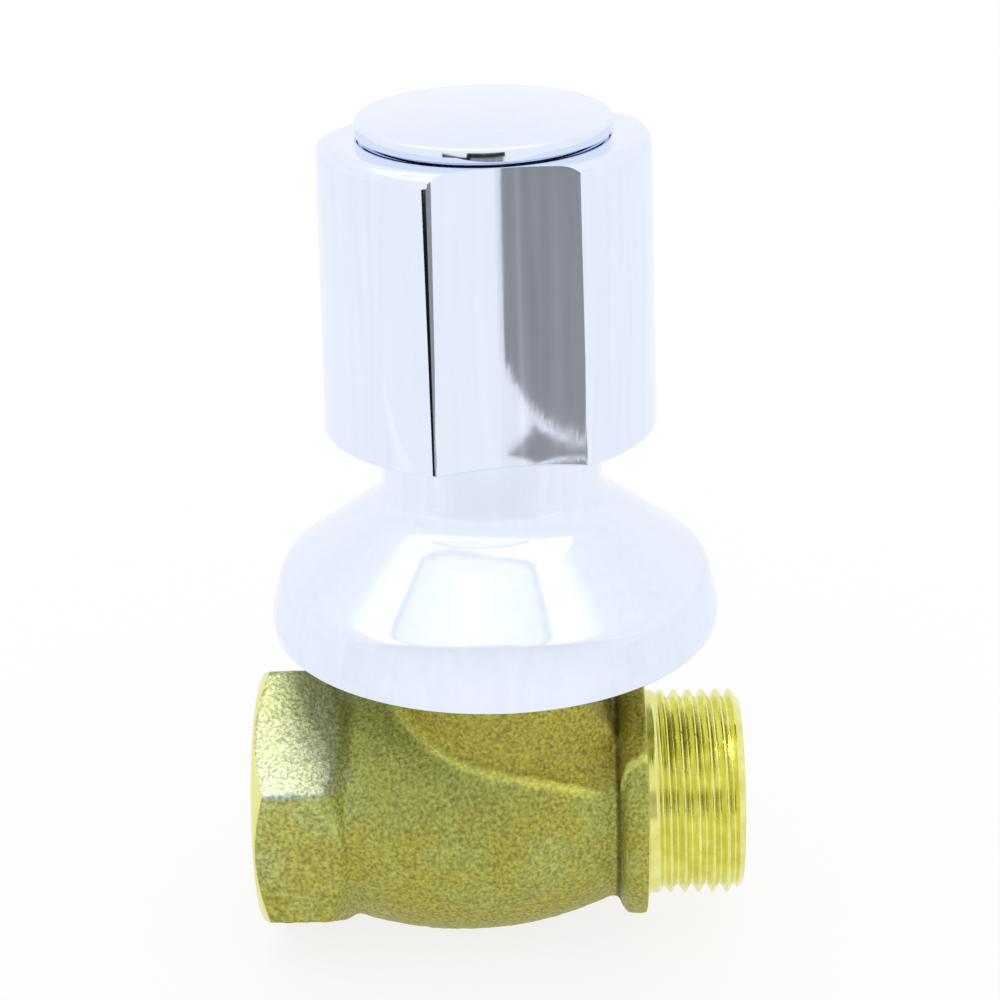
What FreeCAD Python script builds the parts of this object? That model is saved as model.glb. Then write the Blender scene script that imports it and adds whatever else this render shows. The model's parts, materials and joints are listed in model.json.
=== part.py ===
import FreeCAD, Part
import math
import os

# Concealed stop valve for building into a wall: a brass globe body with a hexagonal
# female inlet and a male threaded outlet, a headwork that lifts a rubber washer off its
# seat, a chromed bell that covers the hole in the wall, and a three-lobed chromed handle.
#
# Millimetres. The origin is the centre of the inlet's mouth, +X runs along the flow
# towards the outlet, and +Z runs along the spindle towards the handle. The valve is
# drawn closed, with the rubber on its seat.

Vector = FreeCAD.Vector

# Flow line and pipe threads
INLET_REACH = 31.0
OUTLET_REACH = 31.2
MALE_THREAD_R = 13.22
MALE_THREAD_LENGTH = 12.2
MALE_THREAD_CHAMFER = 1.1
OUTLET_BORE_R = 9.7
PORT_THREAD_R = 12.06
PORT_DEPTH = 12.5
PORT_CHAMFER = 0.5
PORT_RUN_OUT = 1.5

# Hexagonal inlet end
INLET_FLATS = 32.0
INLET_HEX_LENGTH = 9.4
MOUTH_FACE_R = 15.7
MOUTH_ANGLE = 30.0
HEX_END_SLOPE_LENGTH = 2.6

# Barrel of the body
WAIST_R = 15.1
BELLY_R = 17.5
BELLY_BEFORE_SPINDLE = 4.7
BARREL_END_R = 13.4
BARREL_END_AFTER_SPINDLE = 14.4
BODY_WALL = 2.8
CAVITY_START_R = 11.4

# Collar before the male thread
COLLAR_R = 15.8
COLLAR_WIDTH = 2.6
COLLAR_SLOPE_WIDTH = 1.9
COLLAR_ROUND = 0.4
GROOVE_DEPTH = 0.5

# Neck, its buttress and the blank raised pad
NECK_R = 13.3
NECK_TOP = 27.0
BUTTRESS_END_AFTER_SPINDLE = 15.8
BUTTRESS_KNEE_AFTER_SPINDLE = 9.5
BUTTRESS_KNEE_HALF = 11.4
BUTTRESS_KNEE_ROUND = 3.0
BUTTRESS_END_HALF = 7.8
BUTTRESS_TOP_AFTER_SPINDLE = 7.0
BUTTRESS_TOP = 25.0
BUTTRESS_FOOT = 11.4
PAD_LENGTH = 12.6
PAD_BOTTOM = -5.2
PAD_TOP = 0.6
PAD_RAISED = 0.35

# Partition and seat
PARTITION_WALL = 2.4
PARTITION_LEFT_FOOT = 12.4
PARTITION_LEFT_TOP = 14.6
PARTITION_RIGHT_TOP = 9.0
PARTITION_RIGHT_FOOT = 12.2
PARTITION_ROUND = 1.6
SEAT_ORIFICE_R = 7.0
SEAT_BOSS_R = 9.2
SEAT_LIP_R = 8.1
SEAT_HEIGHT = 3.0
SEAT_LIP_HEIGHT = 1.0
CHAMBER_R = 10.1
NECK_BORE_R = 11.0
NECK_THREAD_DEPTH = 11.0
NECK_BORE_CHAMFER = 0.6

# Bonnet
FIT = 0.05
GASKET_THICK = 1.2
GASKET_INSET = 0.3
BONNET_FLATS = 25.0
BONNET_HEX_HEIGHT = 6.5
BONNET_THREAD_LENGTH = 10.4
BONNET_NOSE_LENGTH = 1.6
BONNET_NOSE_R = 9.8
BONNET_BARREL_R = 10.4
BONNET_TOP = 57.0
BONNET_CHAMFER = 0.7
NUT_CHAMFER_ANGLE = 30.0
SCREW_BORE_R = 6.0
SCREW_BORE_TOP = 41.5

# Stem seal
STEM_R = 4.0
PACKING_CHAMBER_R = 6.4
PACKING_FLOOR = 46.0
GLAND_WASHER_THICK = 1.0
PACKING_HEIGHT = 4.5
GLAND_FLATS = 17.0
GLAND_HEAD_HEIGHT = 4.0

# Spindle
LIFT = 6.0
STOP_CLEARANCE = 0.3
SPINDLE_BOTTOM = 20.5
SPINDLE_CHAMFER = 0.6
SPINDLE_TOP_GAP = 0.5
SPLINE_TEETH = 20
SPLINE_DEPTH = 0.45
SPLINE_FLANK_SHARE = 0.3
SPLINE_LAND_SHARE = 0.3
SPINDLE_SCREW_R = 2.0
SPINDLE_SCREW_DEPTH = 11.0
DRILL_CLEARANCE = 0.5
PIN_CHAMFER = 0.4

# Jumper and washer
JUMPER_PIN_R = 2.5
JUMPER_PIN_LENGTH = 11.0
JUMPER_NECK_R = 4.5
JUMPER_NECK_ROUND = 1.5
JUMPER_CUP_R = 9.2
JUMPER_CUP_WALL = 0.8
JUMPER_CUP_DEPTH = 1.5
JUMPER_CUP_FLOOR = 2.0
JUMPER_CUP_ROUND = 0.6
WASHER_THICK = 3.5
WASHER_ROUND = 0.5
SEAT_GAP = 0.05
PLATE_R = 5.2
PLATE_THICK = 1.0
WASHER_SCREW_R = 2.0
WASHER_SCREW_HEAD_R = 3.6
WASHER_SCREW_HEAD = 1.8
WASHER_SCREW_HEAD_ROUND = 0.5
WASHER_SCREW_LENGTH = 11.0
SLOT_WIDTH = 1.0
SLOT_DEPTH = 0.9

# Escutcheon
RIM_Z = 26.5
RIM_R = 28.0
RIM_BULGE_R = 28.15
RIM_BULGE_HEIGHT = 1.7
RIM_BULGE_ROUND = 1.5
SHOULDER_R = 26.9
SHOULDER_HEIGHT = 7.0
SHOULDER_ROUND = 3.6
BELL_NECK_R = 13.6
BELL_NECK_START = 17.1
BELL_NECK_ROUND = 5.0
BELL_TOP = 62.0
BELL_TOP_ROUND = 0.5
BELL_WALL = 1.0
BELL_LIP = 1.2
BELL_LIP_R = 11.3
BELL_LIP_ROUND = 0.3
RIM_ROUND = 0.3
RIM_INNER_ROUND = 0.15

# Sleeve in the bell's neck
SLEEVE_BOTTOM = 46.2
LOCK_RING_THICK = 1.2
LOCK_RING_WIDTH = 1.0
LOCK_RING_BITE = 0.4
LOCK_RING_GAP_ANGLE = 40.0
SLEEVE_RING_SECTION_R = 0.8
SLEEVE_RING_Z = 52.0
SLEEVE_ROUND = 0.3
RING_SIDE_GAP = 0.15
RING_FACE_GAP = 0.02

# Handle
HANDLE_BOTTOM = 53.0
HANDLE_TOP = 88.9
HANDLE_BOTTOM_R = 20.4
HANDLE_TOP_R = 19.75
HANDLE_TOP_ROUND = 1.6
HANDLE_FOOT_ROUND = 0.6
LOBES = 3
SCOOP_HALF_ANGLE = 26.7
SCOOP_DEPTH = 1.4
FIRST_SCOOP_ANGLE = -81.9
HANDLE_WALL = 1.7
HANDLE_TOP_WALL = 2.6
HANDLE_BOSS_R = 8.3
HANDLE_BOSS_LENGTH = 12.5
HANDLE_BOSS_BORE_R = 6.4
DECK_THICK = 3.0
DECK_ROUND = 1.0
WELL_DEPTH = 6.5
WELL_R = 12.0
WELL_WALL = 1.7
SCREW_HOLE_R = 2.4
RIB_WIDTH = 1.6
RIB_ABOVE_BOSS_END = 3.0
BUSH_KEY = 0.8
BUSH_KEYS = 4
BUSH_KEY_WIDTH = 1.8

# Handle screw
LOCK_WASHER_THICK = 0.9
LOCK_WASHER_R = 3.8
LOCK_WASHER_CLEARANCE = 0.1
LOCK_WASHER_GAP_ANGLE = 14.0
HANDLE_SCREW_HEAD_R = 3.7
HANDLE_SCREW_HEAD = 2.4
HANDLE_SCREW_HEAD_ROUND = 1.0
HANDLE_SCREW_LENGTH = 12.0

# Index cap
CAP_R = 15.2
CAP_UNDERSIDE_R = 13.2
CAP_GAP = 0.4
CAP_RIM_HEIGHT = 1.5
CAP_RIM_ROUND = 0.9
CAP_DOME = 1.2
CAP_PLUG_WALL = 1.7
CAP_PLUG_DEPTH = 4.6
CAP_PLUG_CLEARANCE = 0.2
CAP_RING_SECTION_R = 0.75
CAP_RING_DEPTH = 2.4
CAP_EDGE_ROUND = 0.4

# How far a cutting tool runs past the faces that it cuts, and what counts as one point
OVERRUN = 1.0
SAME_POINT = 1e-6

# Places worked out from the sizes above
SPINDLE_X = INLET_REACH
TOTAL_LENGTH = INLET_REACH + OUTLET_REACH
COLLAR_FACE_X = TOTAL_LENGTH - MALE_THREAD_LENGTH
BARREL_END_X = SPINDLE_X + BARREL_END_AFTER_SPINDLE
BELLY_X = SPINDLE_X - BELLY_BEFORE_SPINDLE
WAIST_X = INLET_HEX_LENGTH + HEX_END_SLOPE_LENGTH
INLET_CORNER_R = INLET_FLATS / math.sqrt(3.0)
BONNET_HEX_BOTTOM = NECK_TOP + GASKET_THICK
BONNET_HEX_TOP = BONNET_HEX_BOTTOM + BONNET_HEX_HEIGHT
BONNET_THREAD_R = NECK_BORE_R - FIT
BONNET_THREAD_BOTTOM = NECK_TOP - BONNET_THREAD_LENGTH
GLAND_BODY_R = PACKING_CHAMBER_R - FIT
PACKING_BOTTOM = PACKING_FLOOR + GLAND_WASHER_THICK
PACKING_TOP = PACKING_BOTTOM + PACKING_HEIGHT
SPINDLE_SHOULDER = SCREW_BORE_TOP - LIFT - STOP_CLEARANCE
WASHER_BOTTOM = SEAT_HEIGHT + SEAT_GAP
WASHER_TOP = WASHER_BOTTOM + WASHER_THICK
WASHER_R = JUMPER_CUP_R - JUMPER_CUP_WALL
CUP_TOP = WASHER_TOP + JUMPER_CUP_FLOOR
JUMPER_SHOULDER = SPINDLE_BOTTOM - 2.0 * FIT
BELL_INNER_R = BELL_NECK_R - BELL_WALL
SLEEVE_TOP = BELL_TOP - BELL_LIP
SLEEVE_R = BELL_INNER_R - FIT
WELL_FLOOR = HANDLE_TOP - WELL_DEPTH
DECK_BOTTOM = WELL_FLOOR - DECK_THICK
HANDLE_BOSS_BOTTOM = DECK_BOTTOM - HANDLE_BOSS_LENGTH
RIB_BOTTOM = HANDLE_BOSS_BOTTOM + RIB_ABOVE_BOSS_END
SPLINE_START = HANDLE_BOSS_BOTTOM
SPINDLE_TOP = DECK_BOTTOM - SPINDLE_TOP_GAP
CAP_BOTTOM = HANDLE_TOP


def outline(corners, place):
    """Closed wire through corners (a, b) or (a, b, radius), each radius a tangent arc."""
    joints = []
    count = len(corners)
    for i in range(count):
        here = Vector(corners[i][0], corners[i][1], 0)
        radius = corners[i][2] if len(corners[i]) > 2 else 0.0
        if radius == 0.0:
            joints.append((here, None, here))
            continue
        before = Vector(corners[i - 1][0], corners[i - 1][1], 0) - here
        after = Vector(corners[(i + 1) % count][0], corners[(i + 1) % count][1], 0) - here
        before.normalize()
        after.normalize()
        half = before.getAngle(after) / 2.0
        inward = before + after
        inward.normalize()
        centre = here + inward * (radius / math.sin(half))
        reach = radius / math.tan(half)
        joints.append((here + before * reach, centre - inward * radius, here + after * reach))
    edges = []
    for i in range(count):
        start, middle, end = joints[i]
        if middle is not None:
            edges.append(Part.Arc(place(start), place(middle), place(end)).toShape())
        following = joints[(i + 1) % count][0]
        if end.distanceToPoint(following) > SAME_POINT:
            edges.append(Part.LineSegment(place(end), place(following)).toShape())
    return Part.Wire(edges)


def on_spindle(p):
    """A point (radius, height) beside the spindle's axis."""
    return Vector(SPINDLE_X + p.x, 0, p.y)


def on_flow(p):
    """A point (distance along the flow, radius) above the flow's axis."""
    return Vector(p.x, 0, p.y)


def in_plan(p):
    """A point (x from the spindle, y) in the plane of the flow."""
    return Vector(SPINDLE_X + p.x, p.y, 0)


def turned(corners):
    """A solid turned about the spindle's axis from an outline of (radius, height)."""
    face = Part.Face(outline(corners, on_spindle))
    return face.revolve(Vector(SPINDLE_X, 0, 0), Vector(0, 0, 1), 360)


def turned_on_flow(corners):
    """A solid turned about the flow's axis from an outline of (x, radius)."""
    face = Part.Face(outline(corners, on_flow))
    return face.revolve(Vector(0, 0, 0), Vector(1, 0, 0), 360)


def rod(radius, bottom, top):
    """A cylinder on the spindle's axis."""
    return Part.makeCylinder(radius, top - bottom, Vector(SPINDLE_X, 0, bottom))


def bore(radius, start, end):
    """A cylinder on the flow's axis."""
    return Part.makeCylinder(radius, end - start, Vector(start, 0, 0), Vector(1, 0, 0))


def ring(inner, outer, bottom, top):
    """A flat ring on the spindle's axis."""
    return rod(outer, bottom, top).cut(rod(inner, bottom, top))


def hexagon(flats, bottom, top):
    """A hexagonal prism on the spindle's axis."""
    corner = flats / math.sqrt(3.0)
    points = []
    for i in range(7):
        angle = math.radians(60.0 * i)
        points.append(Vector(SPINDLE_X + corner * math.cos(angle), corner * math.sin(angle), bottom))
    return Part.Face(Part.makePolygon(points)).extrude(Vector(0, 0, top - bottom))


def nut_blank(flats, bottom, top):
    """A hexagon whose corners are turned off at both ends."""
    corner = flats / math.sqrt(3.0)
    flat_r = flats / 2.0
    over = corner + OVERRUN
    rise = (over - flat_r) * math.tan(math.radians(NUT_CHAMFER_ANGLE))
    envelope = turned([
        (0, bottom), (flat_r, bottom), (over, bottom + rise), (over, top - rise),
        (flat_r, top), (0, top)])
    return hexagon(flats, bottom, top).common(envelope)


def belly(wall):
    """The barrel between waist and collar, its side one arc, taken in by a wall."""
    start = Vector(WAIST_X, 0, WAIST_R - wall)
    crown = Vector(BELLY_X, 0, BELLY_R - wall)
    end = Vector(BARREL_END_X, 0, BARREL_END_R - wall)
    side = Part.Arc(start, crown, end).toShape()
    wire = Part.Wire([
        Part.LineSegment(Vector(WAIST_X, 0, 0), start).toShape(),
        side,
        Part.LineSegment(end, Vector(BARREL_END_X, 0, 0)).toShape(),
        Part.LineSegment(Vector(BARREL_END_X, 0, 0), Vector(WAIST_X, 0, 0)).toShape()])
    return Part.Face(wire).revolve(Vector(0, 0, 0), Vector(1, 0, 0), 360)


def inlet_end():
    """The hexagonal end, with its turned mouth and the slope down to the waist."""
    corner = INLET_CORNER_R
    over = corner + OVERRUN
    chamfer = (over - MOUTH_FACE_R) * math.tan(math.radians(MOUTH_ANGLE))
    slope = HEX_END_SLOPE_LENGTH / (corner - WAIST_R)
    envelope = turned_on_flow([
        (0, 0), (0, MOUTH_FACE_R), (chamfer, over), (WAIST_X - slope * (over - WAIST_R), over),
        (WAIST_X, WAIST_R), (WAIST_X, 0)])
    points = []
    for i in range(7):
        angle = math.radians(60.0 * i + 30.0)
        points.append(Vector(0, corner * math.cos(angle), corner * math.sin(angle)))
    prism = Part.Face(Part.makePolygon(points)).extrude(Vector(WAIST_X, 0, 0))
    return prism.common(envelope)


def outlet_end():
    """The collar with its sloping flank, and the cylinder that carries the pipe thread."""
    collar_start = COLLAR_FACE_X - COLLAR_WIDTH
    slope_start = collar_start - COLLAR_SLOPE_WIDTH
    groove_r = BARREL_END_R - GROOVE_DEPTH
    return turned_on_flow([
        (BARREL_END_X, 0), (BARREL_END_X, groove_r), (slope_start, groove_r),
        (collar_start, COLLAR_R, COLLAR_ROUND), (COLLAR_FACE_X, COLLAR_R, COLLAR_ROUND),
        (COLLAR_FACE_X, MALE_THREAD_R), (TOTAL_LENGTH - MALE_THREAD_CHAMFER, MALE_THREAD_R),
        (TOTAL_LENGTH, MALE_THREAD_R - MALE_THREAD_CHAMFER), (TOTAL_LENGTH, 0)])


def buttress():
    """The tapered wall between neck and collar, its top sloping down to the outlet."""
    half = [
        (0, -NECK_R), (BUTTRESS_KNEE_AFTER_SPINDLE, -BUTTRESS_KNEE_HALF, BUTTRESS_KNEE_ROUND),
        (BUTTRESS_END_AFTER_SPINDLE, -BUTTRESS_END_HALF),
        (BUTTRESS_END_AFTER_SPINDLE, BUTTRESS_END_HALF),
        (BUTTRESS_KNEE_AFTER_SPINDLE, BUTTRESS_KNEE_HALF, BUTTRESS_KNEE_ROUND), (0, NECK_R)]
    block = Part.Face(outline(half, in_plan)).extrude(Vector(0, 0, BUTTRESS_TOP))
    side = Part.Face(outline([
        (-NECK_R, 0), (BUTTRESS_END_AFTER_SPINDLE + OVERRUN, 0),
        (BUTTRESS_END_AFTER_SPINDLE, BUTTRESS_FOOT),
        (BUTTRESS_TOP_AFTER_SPINDLE, BUTTRESS_TOP), (-NECK_R, BUTTRESS_TOP)], on_spindle))
    side.translate(Vector(0, -NECK_R, 0))
    return block.common(side.extrude(Vector(0, 2.0 * NECK_R, 0)))


def raised_pad():
    """The blank cast pad on the front of the belly."""
    skin = belly(-PAD_RAISED)
    block = Part.makeBox(
        PAD_LENGTH, BELLY_R + OVERRUN, PAD_TOP - PAD_BOTTOM,
        Vector(SPINDLE_X - PAD_LENGTH / 2.0, -BELLY_R - OVERRUN, PAD_BOTTOM))
    return skin.common(block)


def partition():
    """The S-shaped wall that parts inlet from outlet, as a band across the barrel."""
    half = PARTITION_WALL / 2.0
    high = BELLY_R
    band = Part.Face(outline([
        (-PARTITION_LEFT_TOP - half, high), (-PARTITION_LEFT_FOOT, -half, PARTITION_ROUND),
        (PARTITION_RIGHT_TOP - half, -half, PARTITION_ROUND),
        (PARTITION_RIGHT_FOOT - half, -high), (PARTITION_RIGHT_FOOT + half, -high),
        (PARTITION_RIGHT_TOP + half, half, PARTITION_ROUND),
        (-PARTITION_LEFT_FOOT + PARTITION_WALL, half, PARTITION_ROUND),
        (-PARTITION_LEFT_TOP + half, high)], on_spindle))
    band.translate(Vector(0, -BELLY_R, 0))
    wall = band.extrude(Vector(0, 2.0 * BELLY_R, 0))
    boss = turned([
        (0, -half), (SEAT_BOSS_R, -half), (SEAT_BOSS_R, SEAT_HEIGHT - SEAT_LIP_HEIGHT),
        (SEAT_LIP_R, SEAT_HEIGHT), (0, SEAT_HEIGHT)])
    return wall.fuse(boss)


def valve_body():
    """The one-piece casting with its machined ends, neck bore and seat."""
    port_relief_end = PORT_DEPTH + PORT_RUN_OUT
    outer = inlet_end().fuse([
        belly(0.0), outlet_end(), rod(NECK_R, 0, NECK_TOP), buttress(), raised_pad()])
    port = turned_on_flow([
        (0, 0), (0, PORT_THREAD_R + PORT_CHAMFER), (PORT_CHAMFER, PORT_THREAD_R),
        (PORT_DEPTH, PORT_THREAD_R), (port_relief_end, CAVITY_START_R), (port_relief_end, 0)])
    chamber_floor = PARTITION_WALL / 2.0
    neck_bore = turned([
        (0, chamber_floor), (CHAMBER_R, chamber_floor),
        (CHAMBER_R, NECK_TOP - NECK_THREAD_DEPTH - BONNET_NOSE_LENGTH),
        (NECK_BORE_R, NECK_TOP - NECK_THREAD_DEPTH),
        (NECK_BORE_R, NECK_TOP - NECK_BORE_CHAMFER),
        (NECK_BORE_R + NECK_BORE_CHAMFER, NECK_TOP), (0, NECK_TOP)])
    cavity = belly(BODY_WALL)
    waterway = cavity.fuse([port, neck_bore, bore(OUTLET_BORE_R, BARREL_END_X - OVERRUN, TOTAL_LENGTH)])
    waterway = waterway.cut(partition())
    waterway = waterway.fuse(rod(SEAT_ORIFICE_R, -PARTITION_WALL, SEAT_HEIGHT))
    return outer.cut(waterway).removeSplitter()


def bonnet():
    """The headwork's body: thread for the neck, hexagon, and barrel for the sleeve."""
    outer = turned([
        (0, BONNET_THREAD_BOTTOM - BONNET_NOSE_LENGTH),
        (BONNET_NOSE_R, BONNET_THREAD_BOTTOM - BONNET_NOSE_LENGTH),
        (BONNET_NOSE_R, BONNET_THREAD_BOTTOM),
        (BONNET_THREAD_R, BONNET_THREAD_BOTTOM + BONNET_CHAMFER),
        (BONNET_THREAD_R, BONNET_HEX_BOTTOM), (BONNET_BARREL_R, BONNET_HEX_BOTTOM),
        (BONNET_BARREL_R, BONNET_TOP - BONNET_CHAMFER),
        (BONNET_BARREL_R - BONNET_CHAMFER, BONNET_TOP), (0, BONNET_TOP)])
    outer = outer.fuse(nut_blank(BONNET_FLATS, BONNET_HEX_BOTTOM, BONNET_HEX_TOP))
    hollow = turned([
        (0, BONNET_THREAD_BOTTOM - BONNET_NOSE_LENGTH),
        (SCREW_BORE_R, BONNET_THREAD_BOTTOM - BONNET_NOSE_LENGTH), (SCREW_BORE_R, SCREW_BORE_TOP),
        (STEM_R + FIT, SCREW_BORE_TOP), (STEM_R + FIT, PACKING_FLOOR),
        (PACKING_CHAMBER_R, PACKING_FLOOR), (PACKING_CHAMBER_R, BONNET_TOP), (0, BONNET_TOP)])
    return outer.cut(hollow).removeSplitter()


def bonnet_gasket():
    return ring(BONNET_THREAD_R + FIT, NECK_R - GASKET_INSET, NECK_TOP, BONNET_HEX_BOTTOM)


def gland_washer():
    return ring(STEM_R + FIT, GLAND_BODY_R, PACKING_FLOOR, PACKING_BOTTOM)


def gland_packing():
    return ring(STEM_R + FIT, GLAND_BODY_R, PACKING_BOTTOM, PACKING_TOP)


def gland_nut():
    head = nut_blank(GLAND_FLATS, BONNET_TOP, BONNET_TOP + GLAND_HEAD_HEIGHT)
    shank = rod(GLAND_BODY_R, PACKING_TOP, BONNET_TOP)
    hole = rod(STEM_R + 2.0 * FIT, PACKING_TOP, BONNET_TOP + GLAND_HEAD_HEIGHT)
    return head.fuse(shank).cut(hole).removeSplitter()


def splined(outer_r, inner_r, bottom, top):
    """A straight-sided spline: teeth between two radii, on the spindle's axis."""
    points = []
    step = 360.0 / SPLINE_TEETH
    rise = SPLINE_FLANK_SHARE
    fall = SPLINE_FLANK_SHARE + SPLINE_LAND_SHARE
    foot = 2.0 * SPLINE_FLANK_SHARE + SPLINE_LAND_SHARE
    for i in range(SPLINE_TEETH):
        for radius, share in ((inner_r, 0.0), (outer_r, rise), (outer_r, fall), (inner_r, foot)):
            angle = math.radians(step * (i + share))
            points.append(Vector(
                SPINDLE_X + radius * math.cos(angle), radius * math.sin(angle), bottom))
    points.append(points[0])
    return Part.Face(Part.makePolygon(points)).extrude(Vector(0, 0, top - bottom))


def spindle():
    """Lifting screw below, plain stem through the gland, splined head for the handle."""
    screw_r = SCREW_BORE_R - FIT
    shape = turned([
        (0, SPINDLE_BOTTOM), (screw_r - SPINDLE_CHAMFER, SPINDLE_BOTTOM),
        (screw_r, SPINDLE_BOTTOM + SPINDLE_CHAMFER), (screw_r, SPINDLE_SHOULDER - SPINDLE_CHAMFER),
        (screw_r - SPINDLE_CHAMFER, SPINDLE_SHOULDER),
        (STEM_R, SPINDLE_SHOULDER), (STEM_R, SPLINE_START), (0, SPLINE_START)])
    head = splined(STEM_R, STEM_R - SPLINE_DEPTH, SPLINE_START, SPINDLE_TOP)
    pin_hole_top = SPINDLE_BOTTOM + JUMPER_PIN_LENGTH + DRILL_CLEARANCE
    pin_hole = rod(JUMPER_PIN_R + FIT, SPINDLE_BOTTOM, pin_hole_top)
    screw_hole = rod(SPINDLE_SCREW_R, SPINDLE_TOP - SPINDLE_SCREW_DEPTH, SPINDLE_TOP)
    return shape.fuse(head).cut(pin_hole).cut(screw_hole).removeSplitter()


def jumper():
    """The disc holder: a cup for the rubber, a neck, and a pin that sits in the spindle."""
    pin_top = JUMPER_SHOULDER + JUMPER_PIN_LENGTH
    shape = turned([
        (0, WASHER_TOP), (WASHER_R, WASHER_TOP), (WASHER_R, WASHER_TOP - JUMPER_CUP_DEPTH),
        (JUMPER_CUP_R, WASHER_TOP - JUMPER_CUP_DEPTH), (JUMPER_CUP_R, CUP_TOP, JUMPER_CUP_ROUND),
        (JUMPER_NECK_R, CUP_TOP, JUMPER_NECK_ROUND), (JUMPER_NECK_R, JUMPER_SHOULDER),
        (JUMPER_PIN_R, JUMPER_SHOULDER), (JUMPER_PIN_R, pin_top - PIN_CHAMFER),
        (JUMPER_PIN_R - PIN_CHAMFER, pin_top), (0, pin_top)])
    hole = rod(WASHER_SCREW_R, WASHER_TOP, WASHER_BOTTOM + WASHER_SCREW_LENGTH + DRILL_CLEARANCE)
    return shape.cut(hole)


def seat_washer():
    return turned([
        (WASHER_SCREW_R + FIT, WASHER_BOTTOM), (WASHER_R - FIT, WASHER_BOTTOM, WASHER_ROUND),
        (WASHER_R - FIT, WASHER_TOP), (WASHER_SCREW_R + FIT, WASHER_TOP)])


def washer_plate():
    return ring(WASHER_SCREW_R + FIT, PLATE_R, WASHER_BOTTOM - PLATE_THICK, WASHER_BOTTOM)


def slotted(shape, centre_z, depth, radius, direction):
    """Cuts a screwdriver slot across a head; direction is +1 for a head that faces up."""
    low = centre_z - depth if direction > 0 else centre_z
    reach = radius + OVERRUN
    slot = Part.makeBox(
        2.0 * reach, SLOT_WIDTH, depth, Vector(SPINDLE_X - reach, -SLOT_WIDTH / 2.0, low))
    return shape.cut(slot)


def washer_screw():
    head_top = WASHER_BOTTOM - PLATE_THICK
    head_bottom = head_top - WASHER_SCREW_HEAD
    tip = WASHER_BOTTOM + WASHER_SCREW_LENGTH
    shank_r = WASHER_SCREW_R - FIT
    shape = turned([
        (0, head_bottom), (WASHER_SCREW_HEAD_R, head_bottom, WASHER_SCREW_HEAD_ROUND),
        (WASHER_SCREW_HEAD_R, head_top), (shank_r, head_top), (shank_r, tip), (0, tip)])
    return slotted(shape, head_bottom, SLOT_DEPTH, WASHER_SCREW_HEAD_R, -1)


def escutcheon():
    """The bell: a thin shell of revolution with a groove for the lock ring."""
    rim = RIM_Z
    wall = BELL_WALL
    slope = math.atan2(BELL_NECK_START - SHOULDER_HEIGHT, SHOULDER_R - BELL_NECK_R)
    drop = wall * math.tan(slope / 2.0)
    shell = turned([
        (RIM_R, rim, RIM_ROUND), (RIM_BULGE_R, rim + RIM_BULGE_HEIGHT, RIM_BULGE_ROUND),
        (SHOULDER_R, rim + SHOULDER_HEIGHT, SHOULDER_ROUND),
        (BELL_NECK_R, rim + BELL_NECK_START, BELL_NECK_ROUND),
        (BELL_NECK_R, BELL_TOP, BELL_TOP_ROUND), (BELL_LIP_R, BELL_TOP, BELL_LIP_ROUND),
        (BELL_LIP_R, SLEEVE_TOP), (BELL_INNER_R, SLEEVE_TOP),
        (BELL_INNER_R, rim + BELL_NECK_START - drop, BELL_NECK_ROUND + wall),
        (SHOULDER_R - wall, rim + SHOULDER_HEIGHT - drop, SHOULDER_ROUND - wall),
        (RIM_BULGE_R - wall, rim + RIM_BULGE_HEIGHT, RIM_BULGE_ROUND - wall),
        (RIM_R - wall, rim, RIM_INNER_ROUND)])
    groove = ring(
        BELL_INNER_R - OVERRUN, BELL_INNER_R + LOCK_RING_BITE,
        SLEEVE_BOTTOM - LOCK_RING_THICK, SLEEVE_BOTTOM)
    return shell.cut(groove)


def escutcheon_sleeve():
    """The threaded ring that screws on the bonnet and carries the bell."""
    groove_r = SLEEVE_R + FIT - 2.0 * SLEEVE_RING_SECTION_R + FIT
    half = SLEEVE_RING_SECTION_R + RING_SIDE_GAP
    return turned([
        (BONNET_BARREL_R + FIT, SLEEVE_BOTTOM), (SLEEVE_R, SLEEVE_BOTTOM, SLEEVE_ROUND),
        (SLEEVE_R, SLEEVE_RING_Z - half), (groove_r, SLEEVE_RING_Z - half),
        (groove_r, SLEEVE_RING_Z + half), (SLEEVE_R, SLEEVE_RING_Z + half),
        (SLEEVE_R, SLEEVE_TOP, SLEEVE_ROUND), (BONNET_BARREL_R + FIT, SLEEVE_TOP)])


def rubber_ring(outer_r, section_r, height):
    """A round-section ring that all but touches the bore around it."""
    centre_r = outer_r - RING_FACE_GAP - section_r
    return Part.makeTorus(centre_r, section_r, Vector(SPINDLE_X, 0, height))


def escutcheon_o_ring():
    return rubber_ring(BELL_INNER_R, SLEEVE_RING_SECTION_R - FIT, SLEEVE_RING_Z)


def open_ring(inner, outer, bottom, top, gap_angle):
    """A flat ring with a gap on the side away from the outlet."""
    closed = ring(inner, outer, bottom, top)
    far = 2.0 * outer
    side = far * math.tan(math.radians(gap_angle / 2.0))
    wedge = Part.Face(Part.makePolygon([
        Vector(SPINDLE_X, 0, bottom), Vector(SPINDLE_X - far, side, bottom),
        Vector(SPINDLE_X - far, -side, bottom), Vector(SPINDLE_X, 0, bottom)]))
    return closed.cut(wedge.extrude(Vector(0, 0, top - bottom)))


def escutcheon_lock_ring():
    outer = BELL_INNER_R + LOCK_RING_BITE - FIT
    return open_ring(
        outer - LOCK_RING_WIDTH, outer, SLEEVE_BOTTOM - LOCK_RING_THICK, SLEEVE_BOTTOM,
        LOCK_RING_GAP_ANGLE)


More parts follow.
